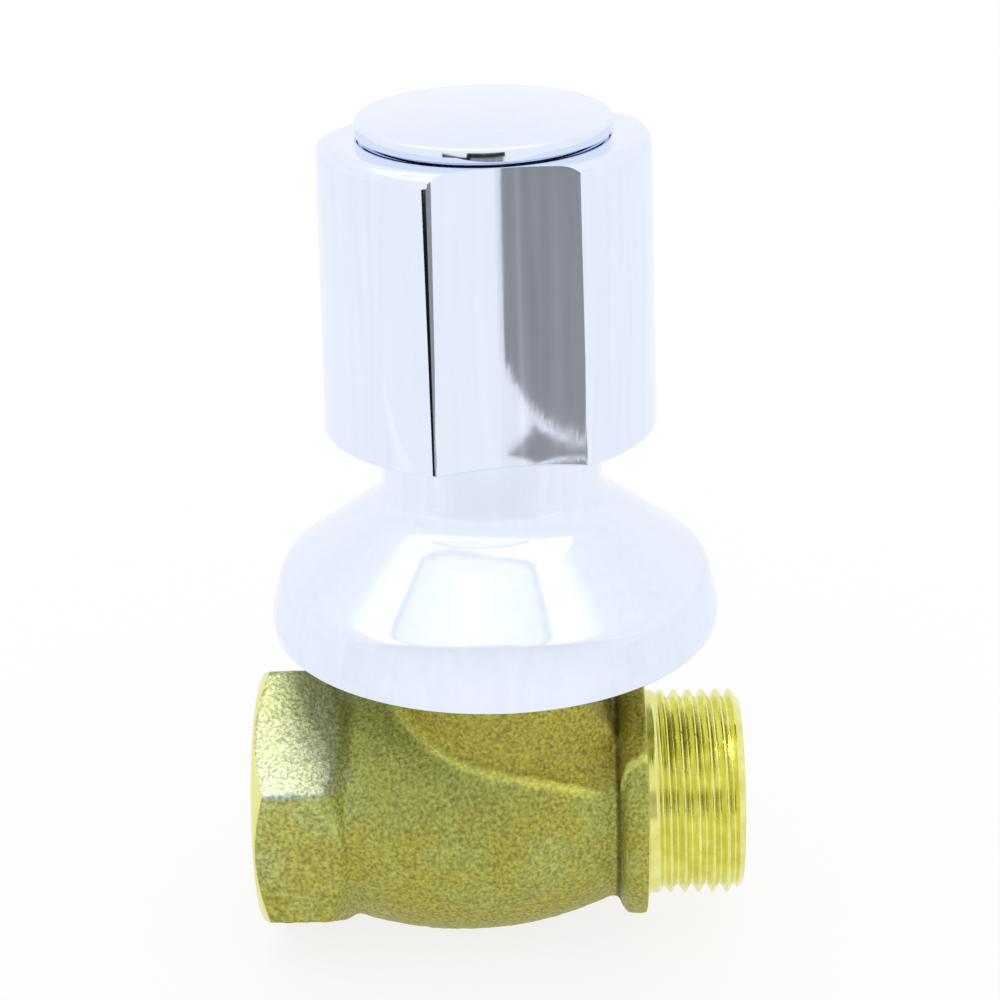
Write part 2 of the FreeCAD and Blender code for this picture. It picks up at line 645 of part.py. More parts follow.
def scooped(form, wall):
    """Cuts the three concave scoops, or the same scoops brought out by a wall."""
    half = math.radians(SCOOP_HALF_ANGLE)
    half_chord = HANDLE_BOTTOM_R * math.sin(half)
    scoop_r = (half_chord ** 2 + SCOOP_DEPTH ** 2) / (2.0 * SCOOP_DEPTH)
    reach = HANDLE_BOTTOM_R * math.cos(half) - SCOOP_DEPTH + scoop_r
    height = HANDLE_TOP - HANDLE_BOTTOM + 2.0 * OVERRUN
    for i in range(LOBES):
        angle = math.radians(FIRST_SCOOP_ANGLE + 360.0 / LOBES * i)
        centre = Vector(
            SPINDLE_X + reach * math.cos(angle), reach * math.sin(angle), HANDLE_BOTTOM - OVERRUN)
        form = form.cut(Part.makeCylinder(scoop_r + wall, height, centre))
    return form


def handle_hollow():
    """The open underside, one wall inside the outer form, around the boss and its ribs."""
    outer_r = HANDLE_TOP_R - HANDLE_WALL
    ceiling = HANDLE_TOP - HANDLE_TOP_WALL
    well_outer_r = WELL_R + WELL_WALL
    space = scooped(rod(outer_r, HANDLE_BOTTOM, ceiling), HANDLE_WALL)
    core = turned([
        (0, HANDLE_BOSS_BOTTOM), (HANDLE_BOSS_R, HANDLE_BOSS_BOTTOM),
        (HANDLE_BOSS_R, DECK_BOTTOM, DECK_ROUND), (well_outer_r, DECK_BOTTOM, DECK_ROUND),
        (well_outer_r, ceiling), (0, ceiling)])
    space = space.cut(core)
    for i in range(LOBES):
        rib = Part.makeBox(
            outer_r + OVERRUN, RIB_WIDTH, ceiling - RIB_BOTTOM,
            Vector(SPINDLE_X, -RIB_WIDTH / 2.0, RIB_BOTTOM))
        angle = FIRST_SCOOP_ANGLE + 360.0 / LOBES * (i + 0.5)
        rib.rotate(Vector(SPINDLE_X, 0, 0), Vector(0, 0, 1), angle)
        space = space.cut(rib)
    return space


def handle():
    """The three-lobed handle: a drafted round form with three concave scoops, hollow below."""
    form = scooped(turned([
        (0, HANDLE_BOTTOM), (HANDLE_BOTTOM_R, HANDLE_BOTTOM, HANDLE_FOOT_ROUND),
        (HANDLE_TOP_R, HANDLE_TOP, HANDLE_TOP_ROUND), (0, HANDLE_TOP)]), 0.0)
    form = form.cut(handle_hollow())
    form = form.cut(rod(WELL_R, WELL_FLOOR, HANDLE_TOP))
    form = form.cut(bush_space(0.0))
    return form.cut(rod(SCREW_HOLE_R, DECK_BOTTOM, WELL_FLOOR)).removeSplitter()


def bush_space(clearance):
    """The keyed round space in the boss, or the bush that fills it."""
    shape = rod(HANDLE_BOSS_BORE_R - clearance, HANDLE_BOSS_BOTTOM, DECK_BOTTOM)
    reach = HANDLE_BOSS_BORE_R + BUSH_KEY - clearance
    width = BUSH_KEY_WIDTH - 2.0 * clearance
    for i in range(BUSH_KEYS):
        key = Part.makeBox(
            reach, width, DECK_BOTTOM - HANDLE_BOSS_BOTTOM,
            Vector(SPINDLE_X, -width / 2.0, HANDLE_BOSS_BOTTOM))
        key.rotate(Vector(SPINDLE_X, 0, 0), Vector(0, 0, 1), 360.0 / BUSH_KEYS * i)
        shape = shape.fuse(key)
    return shape


def handle_bush():
    """The splined bush between the spindle's head and the handle's boss."""
    hole = splined(
        STEM_R + FIT, STEM_R - SPLINE_DEPTH + FIT, HANDLE_BOSS_BOTTOM, DECK_BOTTOM)
    round_off = rod(STEM_R - SPLINE_DEPTH + FIT, HANDLE_BOSS_BOTTOM, DECK_BOTTOM)
    return bush_space(FIT).cut(hole.fuse(round_off)).removeSplitter()


def screw_lock_washer():
    return open_ring(
        SPINDLE_SCREW_R + LOCK_WASHER_CLEARANCE, LOCK_WASHER_R, WELL_FLOOR,
        WELL_FLOOR + LOCK_WASHER_THICK, LOCK_WASHER_GAP_ANGLE)


def handle_screw():
    seat = WELL_FLOOR + LOCK_WASHER_THICK
    top = seat + HANDLE_SCREW_HEAD
    shank_r = SPINDLE_SCREW_R - FIT
    tip = seat - HANDLE_SCREW_LENGTH
    shape = turned([
        (0, tip), (shank_r - PIN_CHAMFER, tip), (shank_r, tip + PIN_CHAMFER), (shank_r, seat),
        (HANDLE_SCREW_HEAD_R, seat), (HANDLE_SCREW_HEAD_R, top, HANDLE_SCREW_HEAD_ROUND), (0, top)])
    return slotted(shape, top, SLOT_DEPTH, HANDLE_SCREW_HEAD_R, 1)


def index_cap():
    """The domed disc on the handle, with a plug that snaps into the well."""
    plug_r = WELL_R - CAP_PLUG_CLEARANCE
    groove_r = WELL_R - 2.0 * CAP_RING_SECTION_R
    groove_z = CAP_BOTTOM - CAP_RING_DEPTH
    half = CAP_RING_SECTION_R + RING_SIDE_GAP
    rim_bottom = CAP_BOTTOM + CAP_GAP
    rim_top = rim_bottom + CAP_RIM_HEIGHT
    body = turned([
        (0, CAP_BOTTOM - CAP_PLUG_DEPTH), (plug_r, CAP_BOTTOM - CAP_PLUG_DEPTH, CAP_EDGE_ROUND),
        (plug_r, groove_z - half), (groove_r, groove_z - half), (groove_r, groove_z + half),
        (plug_r, groove_z + half), (plug_r, CAP_BOTTOM), (CAP_UNDERSIDE_R, CAP_BOTTOM),
        (CAP_UNDERSIDE_R + CAP_GAP, rim_bottom), (CAP_R, rim_bottom, CAP_EDGE_ROUND),
        (CAP_R, rim_top, CAP_RIM_ROUND), (0, rim_top)])
    dome_span = CAP_R - CAP_RIM_ROUND
    sphere_r = (dome_span ** 2 + CAP_DOME ** 2) / (2.0 * CAP_DOME)
    sphere = Part.makeSphere(sphere_r, Vector(SPINDLE_X, 0, rim_top + CAP_DOME - sphere_r))
    dome = sphere.common(rod(dome_span, rim_top - CAP_DOME, rim_top + CAP_DOME))
    hollow = rod(groove_r - CAP_PLUG_WALL, CAP_BOTTOM - CAP_PLUG_DEPTH, CAP_BOTTOM + CAP_GAP)
    return body.fuse(dome).cut(hollow).removeSplitter()


def cap_o_ring():
    return rubber_ring(WELL_R, CAP_RING_SECTION_R - FIT, CAP_BOTTOM - CAP_RING_DEPTH)


PIECES = [
    valve_body, bonnet, bonnet_gasket, gland_washer, gland_packing, gland_nut,
    spindle, jumper, seat_washer, washer_plate, washer_screw,
    escutcheon, escutcheon_sleeve, escutcheon_o_ring, escutcheon_lock_ring,
    handle, handle_bush, screw_lock_washer, handle_screw, index_cap, cap_o_ring]

os.makedirs("parts", exist_ok=True)
for piece in PIECES:
    solid = piece()
    name = piece.__name__
    solid.exportStep("parts/" + name + ".step")
    box = solid.BoundBox
    print(name, solid.ShapeType, "solids", len(solid.Solids), "valid", solid.isValid(),
          "volume", round(solid.Volume, 1), "z", round(box.ZMin, 2), round(box.ZMax, 2))
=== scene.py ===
import json
import math

import bpy
from mathutils import Matrix, Vector, noise


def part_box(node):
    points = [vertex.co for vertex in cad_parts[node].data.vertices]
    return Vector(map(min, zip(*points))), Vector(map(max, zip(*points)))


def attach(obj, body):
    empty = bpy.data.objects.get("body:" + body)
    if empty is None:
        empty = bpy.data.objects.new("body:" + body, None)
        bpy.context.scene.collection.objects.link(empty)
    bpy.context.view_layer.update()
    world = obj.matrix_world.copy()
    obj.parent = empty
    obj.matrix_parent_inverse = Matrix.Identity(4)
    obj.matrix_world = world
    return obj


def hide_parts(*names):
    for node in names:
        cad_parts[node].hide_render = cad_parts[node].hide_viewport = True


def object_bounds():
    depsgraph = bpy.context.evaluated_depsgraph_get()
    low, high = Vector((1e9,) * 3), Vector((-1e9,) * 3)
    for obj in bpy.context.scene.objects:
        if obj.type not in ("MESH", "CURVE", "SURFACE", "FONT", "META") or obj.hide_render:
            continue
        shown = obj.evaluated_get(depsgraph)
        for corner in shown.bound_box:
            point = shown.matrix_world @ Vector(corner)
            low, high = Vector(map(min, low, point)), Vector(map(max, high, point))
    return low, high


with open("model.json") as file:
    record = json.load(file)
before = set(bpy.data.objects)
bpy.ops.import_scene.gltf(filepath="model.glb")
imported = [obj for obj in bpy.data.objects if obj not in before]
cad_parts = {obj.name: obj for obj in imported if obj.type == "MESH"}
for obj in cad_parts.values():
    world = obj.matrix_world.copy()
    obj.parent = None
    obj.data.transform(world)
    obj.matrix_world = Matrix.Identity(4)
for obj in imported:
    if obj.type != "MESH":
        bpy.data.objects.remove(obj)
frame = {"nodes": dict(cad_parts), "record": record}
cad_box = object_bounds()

# Lengths below are in millimetres, angles in degrees, and MM turns millimetres into Blender's metres.
MM = 0.001


def node_box(node):
    """Lowest and highest corner of a CAD node, in millimetres."""
    low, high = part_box(node)
    return low / MM, high / MM


BODY_HIGH = node_box("valve_body")[1]
BELL_LOW, BELL_HIGH = node_box("escutcheon")
HANDLE_LOW, HANDLE_HIGH = node_box("handle")
CAP_HIGH = node_box("index_cap")[1]
SPINDLE_LOW, SPINDLE_HIGH = node_box("spindle")

# Places taken from the frame
SPINDLE_X = (SPINDLE_LOW.x + SPINDLE_HIGH.x) / 2
TOTAL_LENGTH = BODY_HIGH.x
NECK_TOP = BODY_HIGH.z
RIM_Z = BELL_LOW.z
BELL_TOP = BELL_HIGH.z
HANDLE_BOTTOM = HANDLE_LOW.z
HANDLE_TOP = HANDLE_HIGH.z
FLOOR_Z = cad_box[0][2] / MM - 0.05

# Pipe threads: crest radii, and a flat on crest and root as a share of the pitch
MALE_THREAD_R = 13.22
MALE_THREAD_LENGTH = 12.2
THREAD_PITCH = 1.814
THREAD_DEPTH = 1.05
THREAD_FLAT = 0.13
THREAD_CHAMFER = 1.1
THREAD_START = 0.7
THREAD_RUN_IN = 1.1 * THREAD_PITCH
THREAD_COLUMNS = 216
OUTLET_BORE_R = 9.7
OUTLET_BORE_CHAMFER = 0.5
THREAD_TUBE_DEPTH = 1.5
PORT_THREAD_R = 12.06
PORT_DEPTH = 12.5
PORT_SLEEVE_R = 13.9
PORT_SLEEVE_GAP = 0.3
PORT_CHAMFER = 1.2

# Casting: its machined mouth, the mesh of its skin, the marks on it, and the light and shade painted on its
# skin
MOUTH_FACE_R = 15.7
MOUTH_ANGLE = 30.0
VOXEL = 0.44
SOFTEN_FACTOR = 0.5
SOFTEN_STEPS = 4
CAST_LUMP = 0.09
CAST_LUMPS_PER_MM = 0.7
CAST_GRAIN = 0.05
CAST_GRAINS_PER_MM = 1.6
RIDGE_HEIGHT = 0.3
GROOVE_DEPTH = 0.3
# Skin colours: cooler towards the top is partly a painted cool cast of the light above, the wall colour is
# painted shade under the bell, the pale colour a painted highlight on the hexagon's upper flats, and the
# ridge and groove levels a painted highlight and painted shade.
CAST_COOL = (0.375, 0.395, 0.090)
CAST_WARM = (0.375, 0.352, 0.052)
CAST_WALL_PAINTED_SHADE = (0.40, 0.345, 0.045)
CAST_PAINTED_HIGHLIGHT = (0.335, 0.36, 0.17)
CAST_MACHINED = (0.83, 0.80, 0.30)
RIDGE_HIGHLIGHT_LEVEL = 1.0
GROOVE_SHADE_LEVEL = 0.3
PALE_FLAT_END = 10.0
PALE_FLAT_FOOT = 8.4
NECK_RIDGE_R = 14.0
NECK_RIDGE_HALF = 0.55
NECK_RIDGE_SPREAD = 0.45
NECK_RIDGE_LOWEST = 6.0
GROOVE_FROM_COLLAR_FACE = 3.9
GROOVE_HALF = 0.45

# Escutcheon: heights are above its rim
RIM_R = 28.0
RIM_BULGE_R = 28.15
RIM_BULGE_HEIGHT = 1.7
SHOULDER_R = 26.9
SHOULDER_HEIGHT = 7.0
SHOULDER_ROUND = 3.6
BELL_NECK_R = 13.6
BELL_NECK_START = 17.1
BELL_NECK_ROUND = 5.0
BELL_WALL = 1.0
BELL_LIP = 1.2
BELL_LIP_R = 11.3

# Handle: a tapering three-lobed shell, with a well on top and a boss inside
HANDLE_BOTTOM_R = 20.4
HANDLE_TOP_R = 19.75
HANDLE_TOP_ROUND = 1.6
HANDLE_FOOT_ROUND = 0.2
HANDLE_EDGE = 0.3
SIDE_TO_TOP_STEP = 0.001
HANDLE_WALL = 1.7
HANDLE_TOP_WALL = 2.6
SCOOP_HALF_ANGLE = 26.2
SCOOP_DEPTH = 1.4
SCOOP_EDGE_ROUND_LOW = 0.9
SCOOP_EDGE_ROUND_HIGH = 2.2
FIRST_SCOOP_ANGLE = -81.2
LOBES = 3
WELL_R = 12.0
WELL_WALL = 1.7
WELL_FLOOR = HANDLE_TOP - 6.5
DECK_BOTTOM = WELL_FLOOR - 3.0
SCREW_HOLE_R = 2.4
BOSS_R = 8.3
BOSS_BORE_R = 6.4
BOSS_BOTTOM = DECK_BOTTOM - 12.5
RIB_WIDTH = 1.6
RIB_BOTTOM = BOSS_BOTTOM + 3.0
RIB_OVERLAP = 0.4

# Index cap
CAP_R = 15.2
CAP_UNDERSIDE_R = 14.5
CAP_GAP = 0.25
CAP_RIM_ROUND = 0.45
CAP_RIM_LOW_ROUND = 0.15
CAP_DOME = 1.2
CAP_PLUG_R = 11.8
CAP_PLUG_DEPTH = 4.6
CAP_PLUG_WALL = 1.9

# Colours of the metals, and how finely round shapes are divided
CHROME_COLOURS = ((0.775, 0.835, 0.965), (0.80, 0.855, 0.975))
TURNED_COLOURS = ((0.74, 0.71, 0.19), (0.88, 0.88, 0.33))
ROUND_SEGMENTS = 240
ARC_STEP = math.radians(6.0)


def outline(corners):
    """Points of a closed outline through (a, b) or (a, b, radius) corners."""
    points = []
    count = len(corners)
    for i, corner in enumerate(corners):
        here = Vector(corner[:2])
        radius = corner[2] if len(corner) > 2 else 0.0
        if radius == 0.0:
            points.append((here.x, here.y))
            continue
        before = (Vector(corners[i - 1][:2]) - here).normalized()
        after = (Vector(corners[(i + 1) % count][:2]) - here).normalized()
        half = before.angle(after) / 2
        centre = here + (before + after).normalized() * (radius / math.sin(half))
        reach = radius / math.tan(half)
        start = here + before * reach - centre
        end = here + after * reach - centre
        sweep = start.angle_signed(end)
        steps = max(2, math.ceil(abs(sweep) / ARC_STEP))
        for k in range(steps + 1):
            turn = Matrix.Rotation(-sweep * k / steps, 2)
            p = centre + turn @ start
            points.append((p.x, p.y))
    return points


def refined(points, longest):
    """The same outline with its long straight runs divided."""
    result = []
    for i, p in enumerate(points):
        q = points[(i + 1) % len(points)]
        length = math.dist(p, q)
        parts = max(1, math.ceil(length / longest))
        for k in range(parts):
            t = k / parts
            result.append((p[0] + (q[0] - p[0]) * t, p[1] + (q[1] - p[1]) * t))
    return result


def new_piece(name, vertices, faces, material, sharp_angle=35.0):
    """A mesh object from points in millimetres, smooth apart from its sharp edges."""
    mesh = bpy.data.meshes.new(name)
    mesh.from_pydata([Vector(v) * MM for v in vertices], [], faces)
    mesh.validate()
    mesh.shade_smooth()
    mesh.set_sharp_from_angle(angle=math.radians(sharp_angle))
    piece = bpy.data.objects.new(name, mesh)
    bpy.context.scene.collection.objects.link(piece)
    mesh.materials.append(material)
    return piece


def ring_faces(rows, columns, closed):
    """Quads between rings of equal length, the last ring joined to the first if closed."""
    faces = []
    last = rows if closed else rows - 1
    for i in range(last):
        a = i * columns
        b = ((i + 1) % rows) * columns
        for k in range(columns):
            m = (k + 1) % columns
            faces.append((a + k, a + m, b + m, b + k))
    return faces


def lathe(name, points, material, sharp_angle=35.0):
    """Turns a closed outline of (radius, height) about the spindle's axis."""
    vertices = []
    rings = []
    for r, z in points:
        if r < 1e-6:
            rings.append([len(vertices)])
            vertices.append((SPINDLE_X, 0.0, z))
            continue
        rings.append(list(range(len(vertices), len(vertices) + ROUND_SEGMENTS)))
        for k in range(ROUND_SEGMENTS):
            angle = 2 * math.pi * k / ROUND_SEGMENTS
            vertices.append((SPINDLE_X + r * math.cos(angle), r * math.sin(angle), z))
    faces = []
    for i, ring in enumerate(rings):
        following = rings[(i + 1) % len(rings)]
        if len(ring) == 1 and len(following) == 1:
            continue
        for k in range(ROUND_SEGMENTS):
            m = (k + 1) % ROUND_SEGMENTS
            if len(ring) == 1:
                faces.append((ring[0], following[m], following[k]))
            elif len(following) == 1:
                faces.append((ring[k], ring[m], following[0]))
            else:
                faces.append((ring[k], ring[m], following[m], following[k]))
    return new_piece(name, vertices, faces, material, sharp_angle)


# Materials


def new_material(name):
    material = bpy.data.materials.new(name)
    material.use_nodes = True
    return material, material.node_tree.nodes, material.node_tree.links


def scaled_noise(nodes, links, size_mm, detail=3.0, stretch=(1.0, 1.0, 1.0)):
    """A noise texture whose features are about size_mm across, fixed to the piece."""
    place = nodes.new("ShaderNodeTexCoord")
    mapping = nodes.new("ShaderNodeMapping")
    mapping.inputs["Scale"].default_value = [s / (size_mm * MM) for s in stretch]
    texture = nodes.new("ShaderNodeTexNoise")
    texture.inputs["Scale"].default_value = 1.0
    texture.inputs["Detail"].default_value = detail
    links.new(place.outputs["Object"], mapping.inputs["Vector"])
    links.new(mapping.outputs["Vector"], texture.inputs["Vector"])
    return texture


def remap(nodes, links, source, low, high, from_low=0.3, from_high=0.7):
    """Maps a texture value onto a range."""
    node = nodes.new("ShaderNodeMapRange")
    node.inputs["From Min"].default_value = from_low
    node.inputs["From Max"].default_value = from_high
    node.inputs["To Min"].default_value = low
    node.inputs["To Max"].default_value = high
    links.new(source, node.inputs["Value"])
    return node.outputs["Result"]


def colour_mix(nodes, links, factor, first, second):
    """Mixes two colours, each a value or a socket, by a factor socket."""
    node = nodes.new("ShaderNodeMix")
    node.data_type = "RGBA"
    for name, colour in (("A", first), ("B", second)):
        if isinstance(colour, tuple):
            node.inputs[name].default_value = (*colour, 1.0)
        else:
            links.new(colour, node.inputs[name])
    links.new(factor, node.inputs["Factor"])
    return node.outputs["Result"]


def maths(nodes, links, operation, *values):
    """A math node on sockets or plain numbers."""
    node = nodes.new("ShaderNodeMath")
    node.operation = operation
    for i, value in enumerate(values):
        if isinstance(value, float):
            node.inputs[i].default_value = value
        else:
            links.new(value, node.inputs[i])
    return node.outputs[0]


def band(nodes, links, source, middle, half):
    """1 in the middle of a band of a value, falling to 0 at its edges."""
    away = maths(nodes, links, "ABSOLUTE", maths(nodes, links, "SUBTRACT", source, middle))
    return remap(nodes, links, away, 1.0, 0.0, 0.3 * half, half)


def object_parts(nodes, links):
    """X, Y and Z of a point of the piece, in metres."""
    place = nodes.new("ShaderNodeTexCoord")
    split = nodes.new("ShaderNodeSeparateXYZ")
    links.new(place.outputs["Object"], split.inputs["Vector"])
    return split.outputs["X"], split.outputs["Y"], split.outputs["Z"]


def plane_length(nodes, links, first, second):
    """Length of a vector with two parts."""
    vector = nodes.new("ShaderNodeCombineXYZ")
    links.new(first, vector.inputs["X"])
    links.new(second, vector.inputs["Y"])
    length = nodes.new("ShaderNodeVectorMath")
    length.operation = "LENGTH"
    links.new(vector.outputs["Vector"], length.inputs[0])
    return length.outputs["Value"]


def bump(nodes, links, height, depth_mm, before=None):
    """A bump of a given depth, laid over an earlier one."""
    node = nodes.new("ShaderNodeBump")
    node.inputs["Strength"].default_value = 1.0
    node.inputs["Distance"].default_value = depth_mm * MM
    links.new(height, node.inputs["Height"])
    if before is not None:
        links.new(before, node.inputs["Normal"])
    return node.outputs["Normal"]


def chrome_material():
    material, nodes, links = new_material("chrome")
    shader = nodes["Principled BSDF"]
    shader.inputs["Metallic"].default_value = 1.0
    wave = scaled_noise(nodes, links, 4.0, 2.0)
    streak = scaled_noise(nodes, links, 1.2, 3.0, (1.0, 1.0, 0.06))
    colour = colour_mix(nodes, links, remap(nodes, links, streak.outputs["Fac"], 0.0, 1.0), *CHROME_COLOURS)
    links.new(colour, shader.inputs["Base Color"])
    links.new(remap(nodes, links, streak.outputs["Fac"], 0.05, 0.09), shader.inputs["Roughness"])
    first = bump(nodes, links, wave.outputs["Fac"], 0.006)
    links.new(bump(nodes, links, streak.outputs["Fac"], 0.0008, first), shader.inputs["Normal"])
    return material


def cast_brass_material():
    """Sand-cast brass, with the machined mouth and faces picked out by where they lie, and painted light
    and shade on its skin.
    """
    material, nodes, links = new_material("cast_brass")
    shader = nodes["Principled BSDF"]
    patches = scaled_noise(nodes, links, 6.0, 3.0).outputs["Fac"]
    grain = scaled_noise(nodes, links, 0.45, 2.0).outputs["Fac"]
    fine = scaled_noise(nodes, links, 0.22, 2.0).outputs["Fac"]
    wall, ridge, groove_shade = painted_neck_and_groove_light(nodes, links)
    # Painted light: the skin turns cooler towards the top, a painted cool cast of the light from above, and
    # warmer lower down; the patches are the casting's own random tone.
    height = object_parts(nodes, links)[2]
    low = remap(nodes, links, height, 0.5, -0.5, -12.0 * MM, 12.0 * MM)
    warmth_and_painted_top_cast = maths(nodes, links, "ADD", remap(nodes, links, patches, 0.0, 1.0, 0.38, 0.62), low)
    skin = colour_mix(nodes, links, warmth_and_painted_top_cast, CAST_COOL, CAST_WARM)
    # Painted shade: a warmer colour on the neck's wall under the bell stands in for the bell's shade there.
    skin = colour_mix(nodes, links, wall, skin, CAST_WALL_PAINTED_SHADE)
    # Painted highlight: the hexagon's upper flats are turned paler where the light falls on them.
    skin = colour_mix(nodes, links, painted_highlight_flat(nodes, links), skin, CAST_PAINTED_HIGHLIGHT)
    level = remap(nodes, links, grain, 0.6, 1.45)
    # Painted highlight: the ridge at the neck's foot is made brighter.
    level = maths(nodes, links, "MULTIPLY_ADD", ridge, RIDGE_HIGHLIGHT_LEVEL, level)
    # Painted shade: the groove before the collar is darkened.
    level = maths(nodes, links, "MULTIPLY", level, remap(nodes, links, groove_shade, 1.0, GROOVE_SHADE_LEVEL, 0.0, 1.0))
    shaded = nodes.new("ShaderNodeVectorMath")
    shaded.operation = "SCALE"
    links.new(skin, shaded.inputs[0])
    links.new(level, shaded.inputs["Scale"])
    mask = machined_mask(nodes, links)
    colour = colour_mix(nodes, links, mask, shaded.outputs["Vector"], CAST_MACHINED)
    links.new(colour, shader.inputs["Base Color"])
    links.new(remap(nodes, links, mask, 0.55, 1.0, 0.0, 1.0), shader.inputs["Metallic"])
    links.new(remap(nodes, links, mask, 0.48, 0.25, 0.0, 1.0), shader.inputs["Roughness"])
    rough = bump(nodes, links, remap(nodes, links, grain, 0.0, 1.0, 0.2, 0.8), 0.08)
    rough = bump(nodes, links, fine, 0.05, rough)
    blend = nodes.new("ShaderNodeMix")
    blend.data_type = "VECTOR"
    geometry = nodes.new("ShaderNodeNewGeometry")
    links.new(mask, blend.inputs["Factor"])
    links.new(rough, blend.inputs["A"])
    links.new(geometry.outputs["Normal"], blend.inputs["B"])
    links.new(blend.outputs["Result"], shader.inputs["Normal"])
    return material


def painted_neck_and_groove_light(nodes, links):
    """Painted light and shade: warm painted shade on the neck's wall under the bell, a painted highlight on
    the ridge at its foot and painted shade in the line before the collar.
    """
    x, y, z = object_parts(nodes, links)
    along = maths(nodes, links, "SUBTRACT", x, SPINDLE_X * MM)
    behind = maths(nodes, links, "MINIMUM", along, 0.0)
    ahead = maths(nodes, links, "MULTIPLY", maths(nodes, links, "MAXIMUM", along, 0.0), NECK_RIDGE_SPREAD)
    from_neck = plane_length(nodes, links, maths(nodes, links, "ADD", behind, ahead), y)
    upper = remap(nodes, links, z, 0.0, 1.0, NECK_RIDGE_LOWEST * MM, (NECK_RIDGE_LOWEST + 2.0) * MM)
    inside = remap(nodes, links, from_neck, 0.8, 0.0, (NECK_RIDGE_R - 0.6) * MM, NECK_RIDGE_R * MM)
    # The wall mask carries painted shade: the neck's wall under the bell, inside the ridge.
    wall = maths(nodes, links, "MULTIPLY", inside, upper)
    # The ridge mask carries a painted highlight along the ridge at the neck's foot.
    edge = band(nodes, links, from_neck, NECK_RIDGE_R * MM, NECK_RIDGE_HALF * MM)
    ridge = maths(nodes, links, "MULTIPLY", edge, upper)
    # The groove mask carries painted shade in the groove before the collar.
    groove_x = TOTAL_LENGTH - MALE_THREAD_LENGTH - GROOVE_FROM_COLLAR_FACE
    groove_shade = band(nodes, links, x, groove_x * MM, GROOVE_HALF * MM)
    return wall, ridge, groove_shade


def painted_highlight_flat(nodes, links):
    """Painted highlight: 1 on the upper flats of the hexagon, fading towards the belly and the lower flats.
    """
    x, _, z = object_parts(nodes, links)
    upper = remap(nodes, links, z, 0.0, 1.0, PALE_FLAT_FOOT * MM, (PALE_FLAT_FOOT + 0.8) * MM)
    near = remap(nodes, links, x, 1.0, 0.0, PALE_FLAT_END * MM, (PALE_FLAT_END + 3.0) * MM)
    return maths(nodes, links, "MULTIPLY", upper, near)


def machined_mask(nodes, links):
    """1 on the turned mouth and faces of the casting, 0 on its cast skin."""
    x, y, z = object_parts(nodes, links)
    radius = plane_length(nodes, links, y, z)
    slope = math.tan(math.radians(MOUTH_ANGLE))
    cone = maths(nodes, links, "MULTIPLY_ADD", radius, -slope, MOUTH_FACE_R * slope * MM)
    mouth = remap(nodes, links, maths(nodes, links, "ADD", x, cone), 1.0, 0.0, 0.18 * MM, 0.30 * MM)
    collar_x = (TOTAL_LENGTH - MALE_THREAD_LENGTH) * MM
    collar = remap(nodes, links, x, 0.0, 1.0, collar_x - 0.25 * MM, collar_x - 0.15 * MM)
    top_z = NECK_TOP * MM
    neck = remap(nodes, links, z, 0.0, 1.0, top_z - 0.25 * MM, top_z - 0.15 * MM)
    return maths(nodes, links, "MAXIMUM", maths(nodes, links, "MAXIMUM", mouth, collar), neck)


def turned_brass_material():
    material, nodes, links = new_material("turned_brass")
    shader = nodes["Principled BSDF"]
    shader.inputs["Metallic"].default_value = 1.0
    lines = scaled_noise(nodes, links, 2.0, 2.0, (18.0, 1.0, 1.0))
    cloud = scaled_noise(nodes, links, 2.5, 3.0)
    colour = colour_mix(nodes, links, remap(nodes, links, cloud.outputs["Fac"], 0.0, 1.0), *TURNED_COLOURS)
    links.new(colour, shader.inputs["Base Color"])
    links.new(remap(nodes, links, lines.outputs["Fac"], 0.16, 0.30), shader.inputs["Roughness"])
    links.new(bump(nodes, links, lines.outputs["Fac"], 0.012), shader.inputs["Normal"])
    return material


def plain_material(name, first, second, roughness, metallic, size_mm, depth_mm):
    """A material with fine mottling and a matching bump."""
    material, nodes, links = new_material(name)
    shader = nodes["Principled BSDF"]
    shader.inputs["Metallic"].default_value = metallic
    texture = scaled_noise(nodes, links, size_mm, 4.0)
    colour = colour_mix(
        nodes, links, remap(nodes, links, texture.outputs["Fac"], 0.0, 1.0), first, second)
    links.new(colour, shader.inputs["Base Color"])
    links.new(
        remap(nodes, links, texture.outputs["Fac"], roughness - 0.06, roughness + 0.06),
        shader.inputs["Roughness"])
    links.new(bump(nodes, links, texture.outputs["Fac"], depth_mm), shader.inputs["Normal"])
    return material


CHROME = chrome_material()
CAST_BRASS = cast_brass_material()
TURNED_BRASS = turned_brass_material()
RUBBER = plain_material("black_rubber", (0.018, 0.018, 0.018), (0.035, 0.035, 0.035), 0.6, 0.0, 0.5, 0.01)
FIBRE = plain_material("fibre", (0.28, 0.07, 0.05), (0.42, 0.14, 0.09), 0.8, 0.0, 0.6, 0.03)
PACKING = plain_material("white_packing", (0.78, 0.78, 0.75), (0.86, 0.86, 0.84), 0.5, 0.0, 1.0, 0.005)
NYLON = plain_material("nylon", (0.72, 0.70, 0.64), (0.80, 0.79, 0.74), 0.45, 0.0, 2.0, 0.005)
STEEL = plain_material("steel", (0.52, 0.53, 0.56), (0.66, 0.66, 0.68), 0.32, 1.0, 0.4, 0.008)

SLOT_MATERIALS = {
    "cast_brass": CAST_BRASS, "turned_brass": TURNED_BRASS, "chrome": CHROME,
    "black_rubber": RUBBER, "fibre": FIBRE, "white_packing": PACKING, "nylon": NYLON, "steel": STEEL}


def dress_nodes():
    """Gives each CAD node the material of its slot."""
    for row in frame["record"]["subparts"]:
        node = frame["nodes"][row["node"]]
        node.data.materials.clear()
        node.data.materials.append(SLOT_MATERIALS[row["material_slot"]])


# Body


